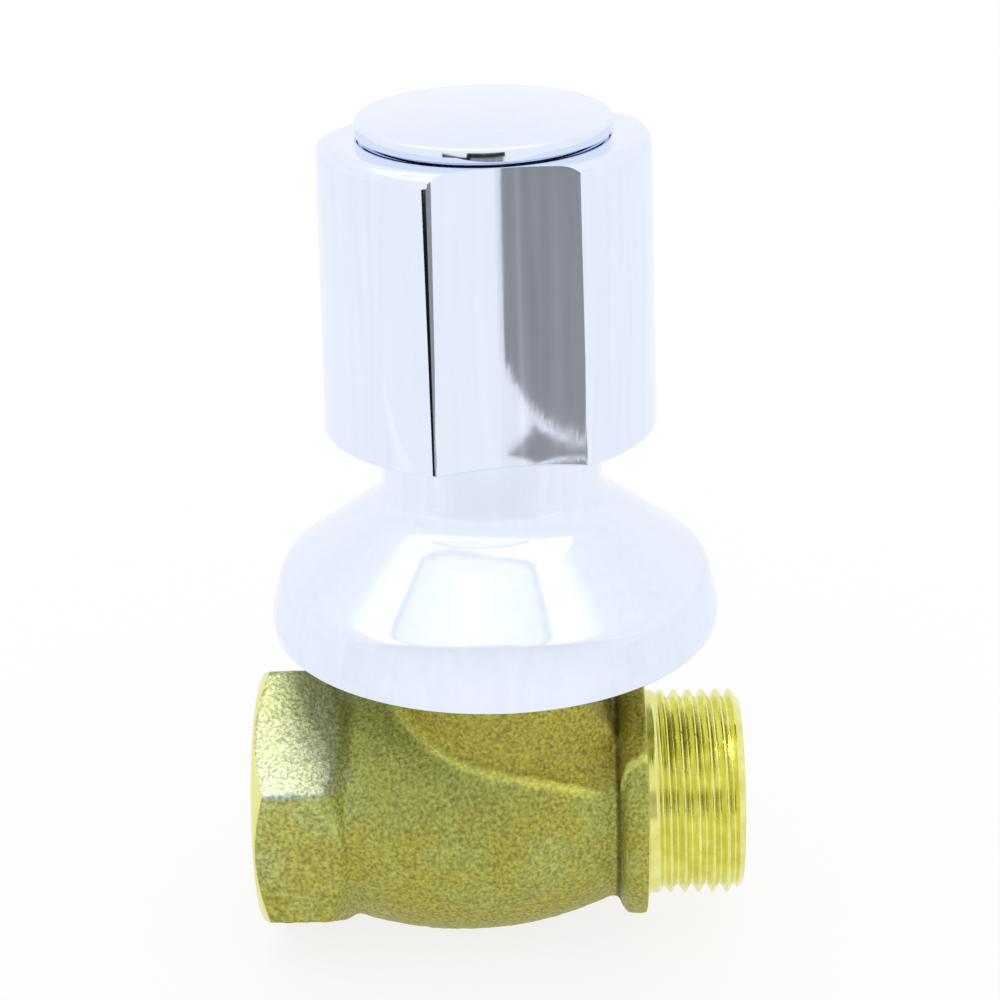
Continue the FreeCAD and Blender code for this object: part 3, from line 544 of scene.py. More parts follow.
def cutter(name, radius, start, end):
    """A closed cylinder along the flow, used only to cut."""
    vertices = []
    for x in (start, end):
        for k in range(ROUND_SEGMENTS):
            angle = 2 * math.pi * k / ROUND_SEGMENTS
            vertices.append((x, radius * math.cos(angle), radius * math.sin(angle)))
    faces = ring_faces(2, ROUND_SEGMENTS, False)
    faces.append(tuple(reversed(range(ROUND_SEGMENTS))))
    faces.append(tuple(range(ROUND_SEGMENTS, 2 * ROUND_SEGMENTS)))
    return new_piece(name, vertices, faces, TURNED_BRASS)


def finished(piece):
    """Replaces a piece's mesh by the result of its modifiers."""
    graph = bpy.context.evaluated_depsgraph_get()
    mesh = bpy.data.meshes.new_from_object(piece.evaluated_get(graph))
    piece.modifiers.clear()
    old = piece.data
    piece.data = mesh
    bpy.data.meshes.remove(old)


def cast_amount(p):
    """How much of the casting's roughness a point (mm) takes: none on machined faces."""
    radius = math.hypot(p.y, p.z)
    cone = p.x - (radius - MOUTH_FACE_R) * math.tan(math.radians(MOUTH_ANGLE))
    collar_x = TOTAL_LENGTH - MALE_THREAD_LENGTH
    edge = min(cone, collar_x - p.x, NECK_TOP - p.z)
    return max(0.0, min(1.0, (edge - 0.3) / 0.6))


def ridge_amount(p):
    """1 on the ridge at the foot of the neck, 0 away from it."""
    along = p.x - SPINDLE_X
    along *= NECK_RIDGE_SPREAD if along > 0.0 else 1.0
    away = abs(math.hypot(along, p.y) - NECK_RIDGE_R) / (NECK_RIDGE_HALF + 0.2)
    return max(0.0, 1.0 - away) if p.z > NECK_RIDGE_LOWEST else 0.0


def groove_amount(p):
    """1 in the line before the collar, 0 away from it."""
    away = abs(p.x - (TOTAL_LENGTH - MALE_THREAD_LENGTH - GROOVE_FROM_COLLAR_FACE)) / (GROOVE_HALF + 0.25)
    return max(0.0, 1.0 - away)


def cast_body():
    """The casting: its CAD form, softened and roughened like a sand casting."""
    body = bpy.data.objects.new("cast_body", frame["nodes"]["valve_body"].data.copy())
    bpy.context.scene.collection.objects.link(body)
    collar_x = TOTAL_LENGTH - MALE_THREAD_LENGTH
    tools = [
        cutter("port_cutter", PORT_SLEEVE_R - 0.1, -2.0, PORT_DEPTH),
        cutter("thread_cutter", 30.0, collar_x, TOTAL_LENGTH + 2.0)]
    for tool in tools:
        cut = body.modifiers.new("cut", "BOOLEAN")
        cut.operation = "DIFFERENCE"
        cut.solver = "EXACT"
        cut.object = tool
    skin = body.modifiers.new("skin", "REMESH")
    skin.mode = "VOXEL"
    skin.voxel_size = VOXEL * MM
    skin.use_smooth_shade = True
    soften = body.modifiers.new("soften", "SMOOTH")
    soften.factor = SOFTEN_FACTOR
    soften.iterations = SOFTEN_STEPS
    finished(body)
    for tool in tools:
        bpy.data.objects.remove(tool)
    mesh = body.data
    outward = [vertex.normal.copy() for vertex in mesh.vertices]
    for vertex, normal in zip(mesh.vertices, outward):
        p = vertex.co / MM
        amount = cast_amount(p)
        if amount == 0.0:
            continue
        lump = noise.noise(p * CAST_LUMPS_PER_MM) * CAST_LUMP
        lump += noise.noise(p * CAST_GRAINS_PER_MM + Vector((9, 4, 2))) * CAST_GRAIN
        lump += RIDGE_HEIGHT * ridge_amount(p) - GROOVE_DEPTH * groove_amount(p)
        vertex.co += normal * (lump * amount * MM)
    mesh.shade_smooth()
    mesh.materials.clear()
    mesh.materials.append(CAST_BRASS)
    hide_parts("valve_body")
    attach(body, "root")
    return body


def thread_shape(phase):
    """0 on a crest and 1 in a root, with straight flanks and small flats."""
    distance = abs(2.0 * (phase % 1.0) - 1.0)
    t = (1.0 - distance - THREAD_FLAT) / (1.0 - 2.0 * THREAD_FLAT)
    t = max(0.0, min(1.0, t))
    return t * t * (3.0 - 2.0 * t) * 0.3 + t * 0.7


def clamp01(value):
    return max(0.0, min(1.0, value))


def add_thread_rings(vertices, places):
    """Adds plain rings about the flow's axis, each an (x, radius)."""
    for x, r in places:
        for k in range(THREAD_COLUMNS):
            angle = 2 * math.pi * k / THREAD_COLUMNS
            vertices.append((x, r * math.cos(angle), r * math.sin(angle)))


def outlet_thread():
    """The threaded outlet: helical crests outside, plain bore inside, one closed tube."""
    start = TOTAL_LENGTH - MALE_THREAD_LENGTH
    rows_per_pitch = 16
    rows = int(MALE_THREAD_LENGTH / THREAD_PITCH * rows_per_pitch)
    vertices = []
    for i in range(rows + 1):
        x = start + MALE_THREAD_LENGTH * i / rows
        run_in = clamp01((x - start - THREAD_START) / THREAD_RUN_IN)
        limit = MALE_THREAD_R - max(0.0, x - (TOTAL_LENGTH - THREAD_CHAMFER))
        for k in range(THREAD_COLUMNS):
            share = k / THREAD_COLUMNS
            depth = THREAD_DEPTH * thread_shape((x - start) / THREAD_PITCH - share) * run_in
            r = min(MALE_THREAD_R - depth, limit)
            angle = 2 * math.pi * share
            vertices.append((x, r * math.cos(angle), r * math.sin(angle)))
    back = start - THREAD_TUBE_DEPTH
    seat_r = MALE_THREAD_R - THREAD_TUBE_DEPTH
    inner = (
        (TOTAL_LENGTH, OUTLET_BORE_R + OUTLET_BORE_CHAMFER),
        (TOTAL_LENGTH - OUTLET_BORE_CHAMFER, OUTLET_BORE_R),
        (back, OUTLET_BORE_R), (back, seat_r), (start, seat_r))
    add_thread_rings(vertices, inner)
    faces = ring_faces(rows + 1 + len(inner), THREAD_COLUMNS, True)
    piece = new_piece("outlet_pipe_thread", vertices, faces, TURNED_BRASS, 50.0)
    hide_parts("valve_body")
    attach(piece, "root")
    return piece


def port_thread():
    """The female thread in the hexagonal end, with its faced mouth."""
    rows_per_pitch = 14
    length = PORT_DEPTH - PORT_SLEEVE_GAP
    rows = int(length / THREAD_PITCH * rows_per_pitch)
    vertices = []
    for i in range(rows + 1):
        x = length * i / rows
        opening = max(0.0, PORT_CHAMFER - x)
        for k in range(THREAD_COLUMNS):
            share = k / THREAD_COLUMNS
            depth = THREAD_DEPTH * thread_shape(x / THREAD_PITCH - share)
            r = max(PORT_THREAD_R + depth, PORT_THREAD_R + opening)
            angle = 2 * math.pi * share
            vertices.append((x, r * math.cos(angle), r * math.sin(angle)))
    sleeve = ((length, PORT_SLEEVE_R), (0.0, PORT_SLEEVE_R))
    add_thread_rings(vertices, sleeve)
    faces = [tuple(reversed(f)) for f in ring_faces(rows + 1 + len(sleeve), THREAD_COLUMNS, True)]
    piece = new_piece("inlet_pipe_thread", vertices, faces, TURNED_BRASS, 50.0)
    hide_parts("valve_body")
    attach(piece, "root")
    return piece


# Chromed pieces


def bell():
    """The escutcheon: a spun bell with a straight neck."""
    slope = math.atan2(BELL_NECK_START - SHOULDER_HEIGHT, SHOULDER_R - BELL_NECK_R)
    drop = BELL_WALL * math.tan(slope / 2)
    points = outline([
        (RIM_R, RIM_Z, 0.3), (RIM_BULGE_R, RIM_Z + RIM_BULGE_HEIGHT, 1.5),
        (SHOULDER_R, RIM_Z + SHOULDER_HEIGHT, SHOULDER_ROUND),
        (BELL_NECK_R, RIM_Z + BELL_NECK_START, BELL_NECK_ROUND), (BELL_NECK_R, BELL_TOP, 0.5),
        (BELL_LIP_R, BELL_TOP, 0.3), (BELL_LIP_R, BELL_TOP - BELL_LIP),
        (BELL_NECK_R - BELL_WALL, BELL_TOP - BELL_LIP),
        (BELL_NECK_R - BELL_WALL, RIM_Z + BELL_NECK_START - drop, BELL_NECK_ROUND + BELL_WALL),
        (SHOULDER_R - BELL_WALL, RIM_Z + SHOULDER_HEIGHT - drop, SHOULDER_ROUND - BELL_WALL),
        (RIM_BULGE_R - BELL_WALL, RIM_Z + RIM_BULGE_HEIGHT, 0.5), (RIM_R - BELL_WALL, RIM_Z, 0.15)])
    piece = lathe("bell_shell", refined(points, 1.0), CHROME)
    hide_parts("escutcheon")
    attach(piece, "root")
    return piece


def scoop_radius(angle, form_r, edge_round):
    """Radius of the handle's plan at an angle (degrees), where the lobes have the radius form_r."""
    sector = 360.0 / LOBES
    beta = (angle - FIRST_SCOOP_ANGLE + sector / 2) % sector - sector / 2
    beta = abs(math.radians(beta))
    half = math.radians(SCOOP_HALF_ANGLE)
    half_chord = form_r * math.sin(half)
    scoop_r = (half_chord ** 2 + SCOOP_DEPTH ** 2) / (2 * SCOOP_DEPTH)
    reach = form_r * math.cos(half) - SCOOP_DEPTH + scoop_r
    inner = form_r - edge_round
    outer = scoop_r + edge_round
    round_angle = math.acos((inner ** 2 + reach ** 2 - outer ** 2) / (2 * inner * reach))
    if beta >= round_angle:
        return form_r
    centre = (inner * math.cos(round_angle), inner * math.sin(round_angle))
    foot_x = reach + (centre[0] - reach) * scoop_r / outer
    foot_y = centre[1] * scoop_r / outer
    if beta <= math.atan2(foot_y, foot_x):
        return reach * math.cos(beta) - math.sqrt(scoop_r ** 2 - (reach * math.sin(beta)) ** 2)
    away = beta - round_angle
    return inner * math.cos(away) + math.sqrt(max(0.0, edge_round ** 2 - (inner * math.sin(away)) ** 2))


def handle_angles():
    """Angles round the handle, closer together at the scoops' rounded edges."""
    sector = 360.0 / LOBES
    steps = []
    fine_start = SCOOP_HALF_ANGLE - 7.0
    fine_end = SCOOP_HALF_ANGLE + 5.0
    for low, high, count in ((0.0, fine_start, 26), (fine_start, fine_end, 48), (fine_end, sector / 2, 16)):
        steps += [low + (high - low) * i / count for i in range(count)]
    half = steps + [sector / 2]
    angles = []
    for i in range(LOBES):
        middle = FIRST_SCOOP_ANGLE + sector * i
        angles += [middle - b for b in reversed(half[1:-1])]
        angles += [middle + b for b in half]
    return angles


def form_height(r):
    """Height of the handle's rounded top at a radius."""
    start = HANDLE_TOP_R - HANDLE_TOP_ROUND
    if r <= start:
        return HANDLE_TOP
    return HANDLE_TOP - HANDLE_TOP_ROUND + math.sqrt(max(0.0, HANDLE_TOP_ROUND ** 2 - (r - start) ** 2))


def plan_radius(angle, z):
    """Radius of the handle's tapering side at an angle (degrees) and a height."""
    share = (z - HANDLE_BOTTOM) / (HANDLE_TOP - HANDLE_BOTTOM)
    form_r = HANDLE_BOTTOM_R + (HANDLE_TOP_R - HANDLE_BOTTOM_R) * share
    edge_round = SCOOP_EDGE_ROUND_LOW + (SCOOP_EDGE_ROUND_HIGH - SCOOP_EDGE_ROUND_LOW) * share
    return scoop_radius(angle, form_r, edge_round)


def handle_column(plan_angle):
    """Points (radius, height) of the handle's shell at an angle: up its side, over and back inside."""
    side_top = HANDLE_TOP - HANDLE_TOP_ROUND
    side_rows = 24
    top_rows = 36
    flat_start = HANDLE_BOTTOM + HANDLE_FOOT_ROUND + 0.05
    points = []
    foot_r = plan_radius(plan_angle, HANDLE_BOTTOM)
    for i in range(5):
        angle = math.pi / 2 * i / 4
        points.append((
            foot_r - HANDLE_FOOT_ROUND * (1.0 - math.sin(angle)),
            HANDLE_BOTTOM + HANDLE_FOOT_ROUND * (1.0 - math.cos(angle))))
    for i in range(side_rows + 1):
        z = flat_start + (side_top - flat_start) * i / side_rows
        points.append((plan_radius(plan_angle, z), z))
    top_r = plan_radius(plan_angle, side_top)
    well_edge = WELL_R + HANDLE_EDGE
    for i in range(top_rows + 1):
        r = top_r - (top_r - well_edge) * (i / top_rows) ** 2
        points.append((r, form_height(r)))
    points[-top_rows - 1] = (top_r, form_height(top_r) + SIDE_TO_TOP_STEP)
    inner_r = plan_radius(plan_angle, HANDLE_TOP) - HANDLE_WALL
    ceiling = HANDLE_TOP - HANDLE_TOP_WALL
    points += [
        (WELL_R, HANDLE_TOP - HANDLE_EDGE), (WELL_R, WELL_FLOOR), (SCREW_HOLE_R, WELL_FLOOR),
        (SCREW_HOLE_R, DECK_BOTTOM), (BOSS_BORE_R, DECK_BOTTOM), (BOSS_BORE_R, BOSS_BOTTOM),
        (BOSS_R, BOSS_BOTTOM), (BOSS_R, DECK_BOTTOM), (WELL_R + WELL_WALL, DECK_BOTTOM),
        (WELL_R + WELL_WALL, ceiling), (inner_r, ceiling), (inner_r, HANDLE_BOTTOM + HANDLE_EDGE),
        (inner_r + HANDLE_EDGE, HANDLE_BOTTOM)]
    return points


def handle_shell():
    """The handle as one closed shell, with its ribs."""
    angles = handle_angles()
    columns = [handle_column(a) for a in angles]
    rows = len(columns[0])
    vertices = []
    for i in range(rows):
        for a, column in zip(angles, columns):
            r, z = column[i]
            angle = math.radians(a)
            vertices.append((SPINDLE_X + r * math.cos(angle), r * math.sin(angle), z))
    faces = ring_faces(rows, len(angles), True)
    for i in range(LOBES):
        add_rib(vertices, faces, FIRST_SCOOP_ANGLE + 360.0 / LOBES * (i + 0.5))
    piece = new_piece("handle_shell", vertices, faces, CHROME, 28.0)
    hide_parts("handle")
    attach(piece, "spindle_group")
    return piece


def add_rib(vertices, faces, angle):
    """A rib from the boss to the shell, as a closed box set into both."""
    turn = Matrix.Rotation(math.radians(angle), 3, "Z")
    ceiling = HANDLE_TOP - HANDLE_TOP_WALL + 0.3
    first = len(vertices)
    for r in (BOSS_R - RIB_OVERLAP, HANDLE_TOP_R - HANDLE_WALL + RIB_OVERLAP):
        for y in (-RIB_WIDTH / 2, RIB_WIDTH / 2):
            for z in (RIB_BOTTOM, ceiling if r > BOSS_R else DECK_BOTTOM + 0.3):
                p = turn @ Vector((r, y, z))
                vertices.append((SPINDLE_X + p.x, p.y, p.z))
    for face in ((0, 1, 3, 2), (4, 6, 7, 5), (0, 4, 5, 1), (2, 3, 7, 6), (0, 2, 6, 4), (1, 5, 7, 3)):
        faces.append(tuple(first + i for i in face))


def cap_disc():
    """The index cap: a domed disc with a round rim, and its plug in the well."""
    rim_bottom = HANDLE_TOP + CAP_GAP
    rim_top = CAP_HIGH.z - CAP_DOME
    span = CAP_R - CAP_RIM_ROUND
    sphere_r = (span ** 2 + CAP_DOME ** 2) / (2 * CAP_DOME)
    dome = []
    dome_rows = 24
    for i in range(1, dome_rows + 1):
        r = span * (1 - i / dome_rows)
        z = CAP_HIGH.z - sphere_r + math.sqrt(sphere_r ** 2 - r ** 2)
        dome.append((r, z))
    points = outline([
        (CAP_PLUG_R - CAP_PLUG_WALL, HANDLE_TOP - CAP_PLUG_DEPTH),
        (CAP_PLUG_R, HANDLE_TOP - CAP_PLUG_DEPTH, 0.4), (CAP_PLUG_R, HANDLE_TOP),
        (CAP_UNDERSIDE_R, HANDLE_TOP), (CAP_UNDERSIDE_R + CAP_GAP, rim_bottom),
        (CAP_R, rim_bottom, CAP_RIM_LOW_ROUND), (CAP_R, rim_top, CAP_RIM_ROUND), *dome,
        (0.0, HANDLE_TOP + CAP_GAP), (CAP_PLUG_R - CAP_PLUG_WALL, HANDLE_TOP + CAP_GAP)])
    piece = lathe("cap_disc", points, CHROME)
    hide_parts("index_cap")
    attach(piece, "spindle_group")
    return piece


# Stage, light and camera


FLOOR_HALF = 3000.0
FLOOR_GREY = 0.90
FLOOR_GLOW = 0.82


def floor():
    """A wide pale floor under the valve, near white to the camera and to metal."""
    material, nodes, links = new_material("floor")
    shader = nodes["Principled BSDF"]
    shader.inputs["Base Color"].default_value = (FLOOR_GREY, FLOOR_GREY, FLOOR_GREY, 1.0)
    shader.inputs["Roughness"].default_value = 1.0
    shader.inputs["Specular IOR Level"].default_value = 0.0
    glow = nodes.new("ShaderNodeEmission")
    glow.inputs["Color"].default_value = (1.0, 1.0, 1.0, 1.0)
    path = nodes.new("ShaderNodeLightPath")
    seen = maths(nodes, links, "MAXIMUM", path.outputs["Is Camera Ray"], path.outputs["Is Glossy Ray"])
    seen = maths(nodes, links, "MAXIMUM", seen, path.outputs["Is Transmission Ray"])
    mix = nodes.new("ShaderNodeMixShader")
    links.new(maths(nodes, links, "MULTIPLY", seen, FLOOR_GLOW), mix.inputs["Fac"])
    links.new(shader.outputs["BSDF"], mix.inputs[1])
    links.new(glow.outputs["Emission"], mix.inputs[2])
    links.new(mix.outputs["Shader"], nodes["Material Output"].inputs["Surface"])
    corners = ((-1, -1), (1, -1), (1, 1), (-1, 1))
    vertices = [(x * FLOOR_HALF, y * FLOOR_HALF, FLOOR_Z) for x, y in corners]
    new_piece("floor", vertices, [(0, 1, 2, 3)], material)


# Things seen only in reflections: a grey card in front with a black end, a black strip before the cap
# between white wings, a pale shield before the bell and a ring under the handle
CARD_FRONT = 120.0
CARD_LEFT = -21.0
CARD_RIGHT = 36.8
CARD_END_LEFT = -80.0
CARD_BOTTOM = 3.0
CARD_TOP = 64.5
CARD_LEVEL = 0.315
CARD_CLOUDS = 0.03
PALE_EDGE_WIDTH = 4.0
PALE_EDGE_SHARE = 0.82
STRIPE_MIDDLE = 24.6
STRIPE_HALF = 2.4
STRIPE_EXTRA_LEVEL = 0.07
WEDGE_EXTRA_LEVEL = 0.66
WEDGE_SPECKLE = 2.0
WEDGE_BEND_X = 17.0
WEDGE_TOP_AT_LEFT = 15.8
WEDGE_TOP_AT_BEND = 23.2
WEDGE_TOP_AT_RIGHT = 30.2
WEDGE_LOW_AT_LEFT = 14.6
WEDGE_LOW_AT_BEND = 20.8
WEDGE_LOW_AT_RIGHT = 13.8
SHIELD_FRONT = 28.7
SHIELD_HALF_WIDTH = 60.0
SHIELD_BOTTOM = 20.0
SHIELD_TOP = 47.8
RING_UNDER_HANDLE = 0.25
RING_INNER_R = 13.8
RING_OUTER_R = 20.5
STRIP_FRONT = 60.0
STRIP_HALF_WIDTH = 16.0
STRIP_MIDDLE = 3.0
STRIP_WING = 70.0
STRIP_BOTTOM = 77.2
STRIP_TOP = 79.6
STRIP_LEAN = 3.4
SHIELD_FADE_START = 12.0
SHIELD_FADE_END = 32.0
SHIELD_LOW_END = 31.0
SHIELD_HIGH_START = 36.0
ARCH_HALF_ANGLE = 35.0
ARCH_MIDDLE_ANGLE = -8.8
ARCH_REACH = 2.4


def seen_by_chrome_only(piece):
    piece.visible_camera = False
    piece.visible_diffuse = False
    piece.visible_shadow = False
    piece.visible_transmission = False


def card(name, front, left, right, bottom, top, material, lean=0.0):
    """A panel before the valve, upright or leaning away, seen only in reflections."""
    vertices = [
        (SPINDLE_X + left, -front, bottom), (SPINDLE_X + right, -front, bottom),
        (SPINDLE_X + right, -front - lean, top), (SPINDLE_X + left, -front - lean, top)]
    seen_by_chrome_only(new_piece(name, vertices, [(0, 1, 2, 3)], material))


def flat_light(name, level):
    material, nodes, links = new_material(name)
    nodes.remove(nodes["Principled BSDF"])
    glow = nodes.new("ShaderNodeEmission")
    glow.inputs["Color"].default_value = (level, level, level, 1.0)
    links.new(glow.outputs["Emission"], nodes["Material Output"].inputs["Surface"])
    return material, nodes, links, glow


def bent_line(nodes, links, x, first, middle, last):
    """Height of a line in two straight parts, through three places (x, height in millimetres)."""
    near = remap(nodes, links, x, first[1] * MM, middle[1] * MM, first[0], middle[0])
    far = remap(nodes, links, x, 0.0, (last[1] - middle[1]) * MM, middle[0], last[0])
    return maths(nodes, links, "ADD", near, far)


def card_material():
    """Dark grey with a paler stripe and edge, and a white wedge whose upper edge is speckled."""
    material, nodes, links, glow = flat_light("grey_card", CARD_LEVEL)
    x, _, z = object_parts(nodes, links)
    left = (SPINDLE_X + CARD_LEFT) * MM
    right = (SPINDLE_X + CARD_RIGHT) * MM
    bend = (SPINDLE_X + WEDGE_BEND_X) * MM
    speckle = scaled_noise(nodes, links, 1.6, 3.0, (1.0, 1.0, 2.5)).outputs["Fac"]
    wander = remap(nodes, links, speckle, -WEDGE_SPECKLE * MM, WEDGE_SPECKLE * MM)
    height = maths(nodes, links, "ADD", z, wander)
    top = bent_line(
        nodes, links, x, (left, WEDGE_TOP_AT_LEFT), (bend, WEDGE_TOP_AT_BEND), (right, WEDGE_TOP_AT_RIGHT))
    low = bent_line(
        nodes, links, x, (left, WEDGE_LOW_AT_LEFT), (bend, WEDGE_LOW_AT_BEND), (right, WEDGE_LOW_AT_RIGHT))
    under = maths(nodes, links, "LESS_THAN", height, top)
    over = maths(nodes, links, "GREATER_THAN", z, low)
    wedge = maths(nodes, links, "MULTIPLY", under, over)
    stripe = band(nodes, links, x, (SPINDLE_X + STRIPE_MIDDLE) * MM, STRIPE_HALF * MM)
    cloud = scaled_noise(nodes, links, 9.0, 3.0, (1.0, 1.0, 0.25)).outputs["Fac"]
    dark = remap(nodes, links, cloud, CARD_LEVEL - CARD_CLOUDS, CARD_LEVEL + CARD_CLOUDS)
    dark = maths(nodes, links, "MULTIPLY_ADD", stripe, STRIPE_EXTRA_LEVEL, dark)
    edge = maths(nodes, links, "GREATER_THAN", x, right)
    pale = maths(nodes, links, "MAXIMUM", wedge, maths(nodes, links, "MULTIPLY", edge, PALE_EDGE_SHARE))
    level = maths(nodes, links, "MULTIPLY_ADD", pale, WEDGE_EXTRA_LEVEL, dark)
    links.new(level, glow.inputs["Color"])
    return material


def ramp_light(nodes, links, glow, place, stops):
    """Gives a light its level along a value from 0 to 1."""
    ramp = nodes.new("ShaderNodeValToRGB")
    elements = ramp.color_ramp.elements
    while len(elements) < len(stops):
        elements.new(0.5)
    for element, (position, level) in zip(elements, stops):
        element.position = position
        element.color = (level, level, level, 1.0)
    links.new(place, ramp.inputs["Fac"])
    links.new(ramp.outputs["Color"], glow)


def shield_material():
    """Paler towards the rim and the top, a little darker where the bell's neck sees it."""
    material, nodes, links, glow = flat_light("bell_shield", 1.0)
    x, _, z = object_parts(nodes, links)
    share = remap(nodes, links, z, 0.0, 1.0, SHIELD_BOTTOM * MM, SHIELD_TOP * MM)
    stops = [(0.0, 1.02), (0.3, 1.04), (0.7, 0.92), (0.85, 0.94), (1.0, 1.02)]
    ramp_light(nodes, links, glow.inputs["Color"], share, stops)
    aside = maths(nodes, links, "ABSOLUTE", maths(nodes, links, "SUBTRACT", x, SPINDLE_X * MM))
    side = remap(nodes, links, aside, 0.0, 1.0, SHIELD_FADE_START * MM, SHIELD_FADE_END * MM)
    change = remap(nodes, links, z, -0.06, 0.06, SHIELD_LOW_END * MM, SHIELD_HIGH_START * MM)
    links.new(maths(nodes, links, "MULTIPLY_ADD", side, change, 1.0), glow.inputs["Strength"])
    return material


def ring_material():
    """White from below, with the head of the arch that the bell's cone shows; clear from above."""
    material, nodes, links, glow = flat_light("under_handle", 1.0)
    x, y, _ = object_parts(nodes, links)
    aside = maths(nodes, links, "SUBTRACT", x, SPINDLE_X * MM)
    angle = maths(nodes, links, "ARCTAN2", aside, maths(nodes, links, "MULTIPLY", y, -1.0))
    across = maths(nodes, links, "SUBTRACT", angle, math.radians(ARCH_MIDDLE_ANGLE))
    across = maths(nodes, links, "DIVIDE", across, math.radians(ARCH_HALF_ANGLE))
    inward = maths(nodes, links, "SUBTRACT", RING_OUTER_R * MM, plane_length(nodes, links, aside, y))
    inward = maths(nodes, links, "DIVIDE", inward, ARCH_REACH * MM)
    share = maths(nodes, links, "MULTIPLY", plane_length(nodes, links, across, inward), 0.5)
    stops = [(0.0, 1.16), (0.40, 1.16), (0.47, 1.0), (0.50, 1.0), (0.56, 1.36), (1.0, 1.30)]
    ramp_light(nodes, links, glow.inputs["Color"], share, stops)
    geometry = nodes.new("ShaderNodeNewGeometry")
    mix = nodes.new("ShaderNodeMixShader")
    links.new(geometry.outputs["Backfacing"], mix.inputs["Fac"])
    links.new(glow.outputs["Emission"], mix.inputs[1])
    links.new(nodes.new("ShaderNodeBsdfTransparent").outputs["BSDF"], mix.inputs[2])
    links.new(mix.outputs["Shader"], nodes["Material Output"].inputs["Surface"])
    return material


def ring_under_handle(material):
    """A pale ring under the handle's hollow, for its mirror image in the bell."""
    z = HANDLE_BOTTOM - RING_UNDER_HANDLE
    vertices = []
    for r in (RING_INNER_R, RING_OUTER_R):
        for k in range(ROUND_SEGMENTS):
            angle = 2 * math.pi * k / ROUND_SEGMENTS
            vertices.append((SPINDLE_X + r * math.cos(angle), r * math.sin(angle), z))
    ring = new_piece("ring_under_handle", vertices, ring_faces(2, ROUND_SEGMENTS, False), material)
    seen_by_chrome_only(ring)


def cards():
    grey = card_material()
    card("front_card", CARD_FRONT, CARD_LEFT, CARD_RIGHT + PALE_EDGE_WIDTH, CARD_BOTTOM, CARD_TOP, grey)
    black = flat_light("black_card", 0.01)[0]
    card("card_end", CARD_FRONT, CARD_END_LEFT, CARD_LEFT, CARD_BOTTOM, CARD_TOP, black)
    white = flat_light("white_card", 1.0)[0]
    for name, left, right, material in (
            ("cap_strip", -STRIP_HALF_WIDTH, STRIP_HALF_WIDTH, black),
            ("left_wing", -STRIP_WING, -STRIP_HALF_WIDTH, white),
            ("right_wing", STRIP_HALF_WIDTH, STRIP_WING, white)):
        left += STRIP_MIDDLE
        right += STRIP_MIDDLE
        card(name, STRIP_FRONT, left, right, STRIP_BOTTOM, STRIP_TOP, material, STRIP_LEAN)
    card(
        "bell_shield", SHIELD_FRONT, -SHIELD_HALF_WIDTH, SHIELD_HALF_WIDTH, SHIELD_BOTTOM, SHIELD_TOP,
        shield_material())
    ring_under_handle(ring_material())


BRASS_LAMP_RADIUS = 60.0
BRASS_LAMP_PLACE = (-12.0, -30.0, 250.0)
BRASS_LAMP_WATTS = 0.5


def light_only(lamp, pieces):
    """Links a lamp to the pieces that it lights."""
    bpy.context.scene.collection.objects.link(lamp)
    lit = bpy.data.collections.new("lit_by_" + lamp.name)
    for piece in pieces:
        lit.objects.link(piece)
    lamp.light_linking.receiver_collection = lit


def brass_lamp(pieces):
    """A soft lamp from above that lights the brass alone."""
    data = bpy.data.lights.new("brass_lamp", "AREA")
    data.shape = "DISK"
    data.size = 2 * BRASS_LAMP_RADIUS * MM
    data.energy = BRASS_LAMP_WATTS
    lamp = bpy.data.objects.new("brass_lamp", data)
    lamp.location = Vector(BRASS_LAMP_PLACE) * MM
    light_only(lamp, pieces)


# A cool spot from the upper left on the hexagon's front flat
SPOT_PLACE = (-80.0, -120.0, 110.0)
SPOT_AIM = (-31.0, -15.0, 8.0)
SPOT_ANGLE = 7.6
SPOT_BLEND = 0.6
SPOT_RADIUS = 5.0
SPOT_WATTS = 1.5
SPOT_COLOUR = (0.14, 0.21, 1.0)


def hexagon_spot(pieces):
    data = bpy.data.lights.new("hexagon_spot", "SPOT")
    data.spot_size = math.radians(SPOT_ANGLE)
    data.spot_blend = SPOT_BLEND
    data.shadow_soft_size = SPOT_RADIUS * MM
    data.energy = SPOT_WATTS
    data.color = SPOT_COLOUR
    lamp = bpy.data.objects.new("hexagon_spot", data)
    spindle = Vector((SPINDLE_X, 0.0, 0.0))
    place = spindle + Vector(SPOT_PLACE)
    towards = spindle + Vector(SPOT_AIM) - place
    turn = towards.to_track_quat("-Z", "Y").to_matrix().to_4x4()
    lamp.matrix_world = Matrix.Translation(place * MM) @ turn
    light_only(lamp, pieces)


# The round lamp over the tent, seen in the bell's cone
LAMP_TILT_X = -7.5
LAMP_TILT_Y = -4.0


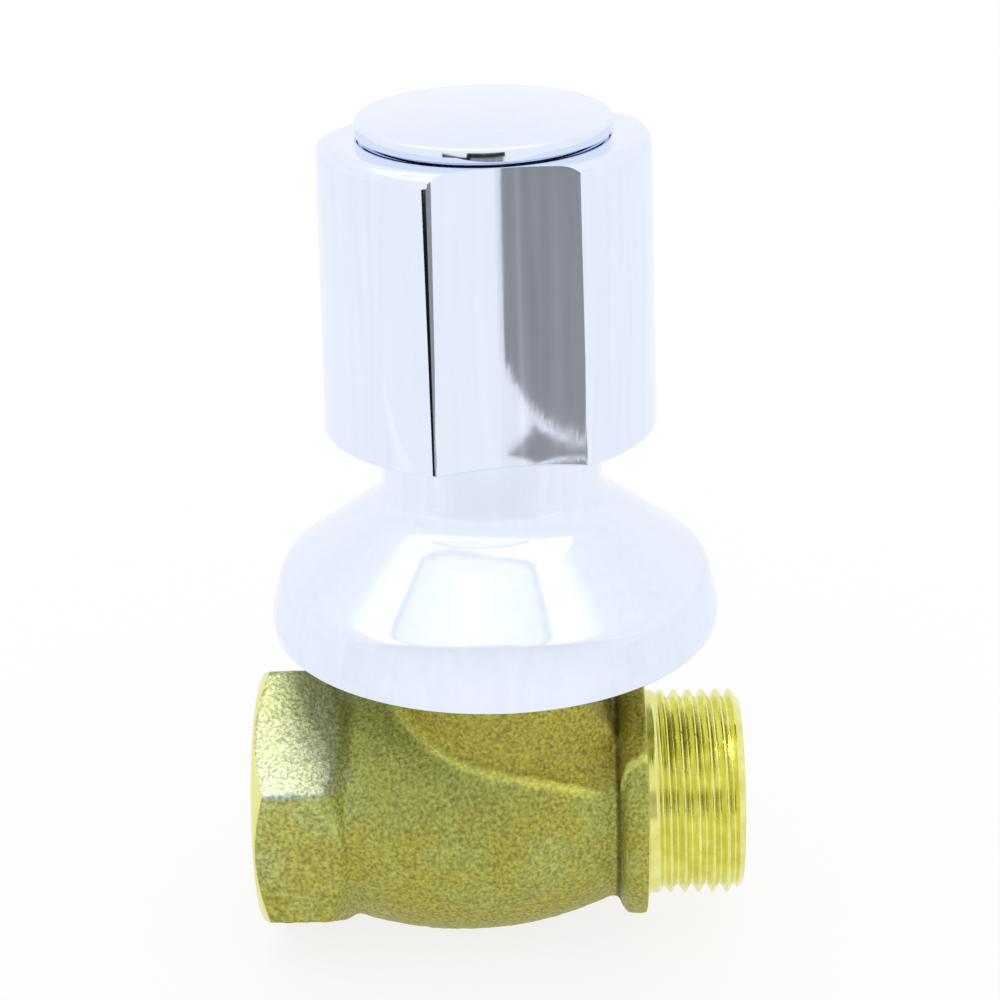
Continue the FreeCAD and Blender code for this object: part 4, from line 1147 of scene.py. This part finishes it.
def world_light():
    """A white tent: level light all round, a round lamp with a thin dark rim overhead."""
    world = bpy.data.worlds.new("tent")
    world.use_nodes = True
    bpy.context.scene.world = world
    nodes = world.node_tree.nodes
    links = world.node_tree.links
    background = nodes["Background"]
    place = nodes.new("ShaderNodeTexCoord")
    towards = Vector((
        math.sin(math.radians(LAMP_TILT_X)), math.sin(math.radians(LAMP_TILT_Y)), 1.0)).normalized()
    dot = nodes.new("ShaderNodeVectorMath")
    dot.operation = "DOT_PRODUCT"
    dot.inputs[1].default_value = towards
    links.new(place.outputs["Generated"], dot.inputs[0])
    share = maths(nodes, links, "DIVIDE", maths(nodes, links, "ARCCOSINE", dot.outputs["Value"]), math.pi)
    stops = [
        (0.0, 1.34), (7.0, 1.32), (9.0, 1.20), (22.5, 1.14), (23.5, 0.98), (24.8, 0.98), (26.0, 1.36),
        (33.0, 1.30), (42.0, 1.05), (60.0, 1.0), (80.0, 1.02), (100.0, 0.98), (180.0, 0.95)]
    path = nodes.new("ShaderNodeLightPath")
    seen = nodes.new("ShaderNodeMix")
    seen.data_type = "RGBA"
    seen.inputs["B"].default_value = (1.0, 1.0, 1.0, 1.0)
    links.new(path.outputs["Is Camera Ray"], seen.inputs["Factor"])
    stops = [(degrees / 180.0, level) for degrees, level in stops]
    ramp_light(nodes, links, seen.inputs["A"], share, stops)
    links.new(seen.outputs["Result"], background.inputs["Color"])
    background.inputs["Strength"].default_value = 1.0


# Camera as measured from the photograph: angles in degrees, lengths in millimetres
CAMERA_AZIMUTH = 1.0
CAMERA_ELEVATION = 23.2
CAMERA_ROLL = -1.4
CAMERA_DISTANCE = 311.5
CAMERA_TARGET = (0.9, 0.0, 41.8)
CAMERA_LENS = 90.0


def camera():
    azimuth = math.radians(CAMERA_AZIMUTH)
    elevation = math.radians(CAMERA_ELEVATION)
    back = Vector((
        math.sin(azimuth) * math.cos(elevation), -math.cos(azimuth) * math.cos(elevation),
        math.sin(elevation)))
    target = Vector(CAMERA_TARGET) + Vector((SPINDLE_X, 0.0, 0.0))
    data = bpy.data.cameras.new("camera")
    data.lens = CAMERA_LENS
    data.sensor_width = 36.0
    data.clip_start = 0.01
    data.clip_end = 20.0
    holder = bpy.data.objects.new("camera", data)
    bpy.context.scene.collection.objects.link(holder)
    look = (-back).to_track_quat("-Z", "Y").to_matrix().to_4x4()
    roll = Matrix.Rotation(math.radians(CAMERA_ROLL), 4, "Z")
    holder.matrix_world = Matrix.Translation((target + back * CAMERA_DISTANCE) * MM) @ look @ roll
    bpy.context.scene.camera = holder


for leftover in ("Cube", "Light", "Camera"):
    if leftover in bpy.data.objects:
        bpy.data.objects.remove(bpy.data.objects[leftover])
dress_nodes()
brass = [cast_body(), outlet_thread(), port_thread()]
bell()
handle_shell()
cap_disc()
floor()
cards()
brass_lamp(brass)
hexagon_spot(brass[:1])
world_light()
camera()
bpy.context.scene.view_settings.view_transform = "Standard"
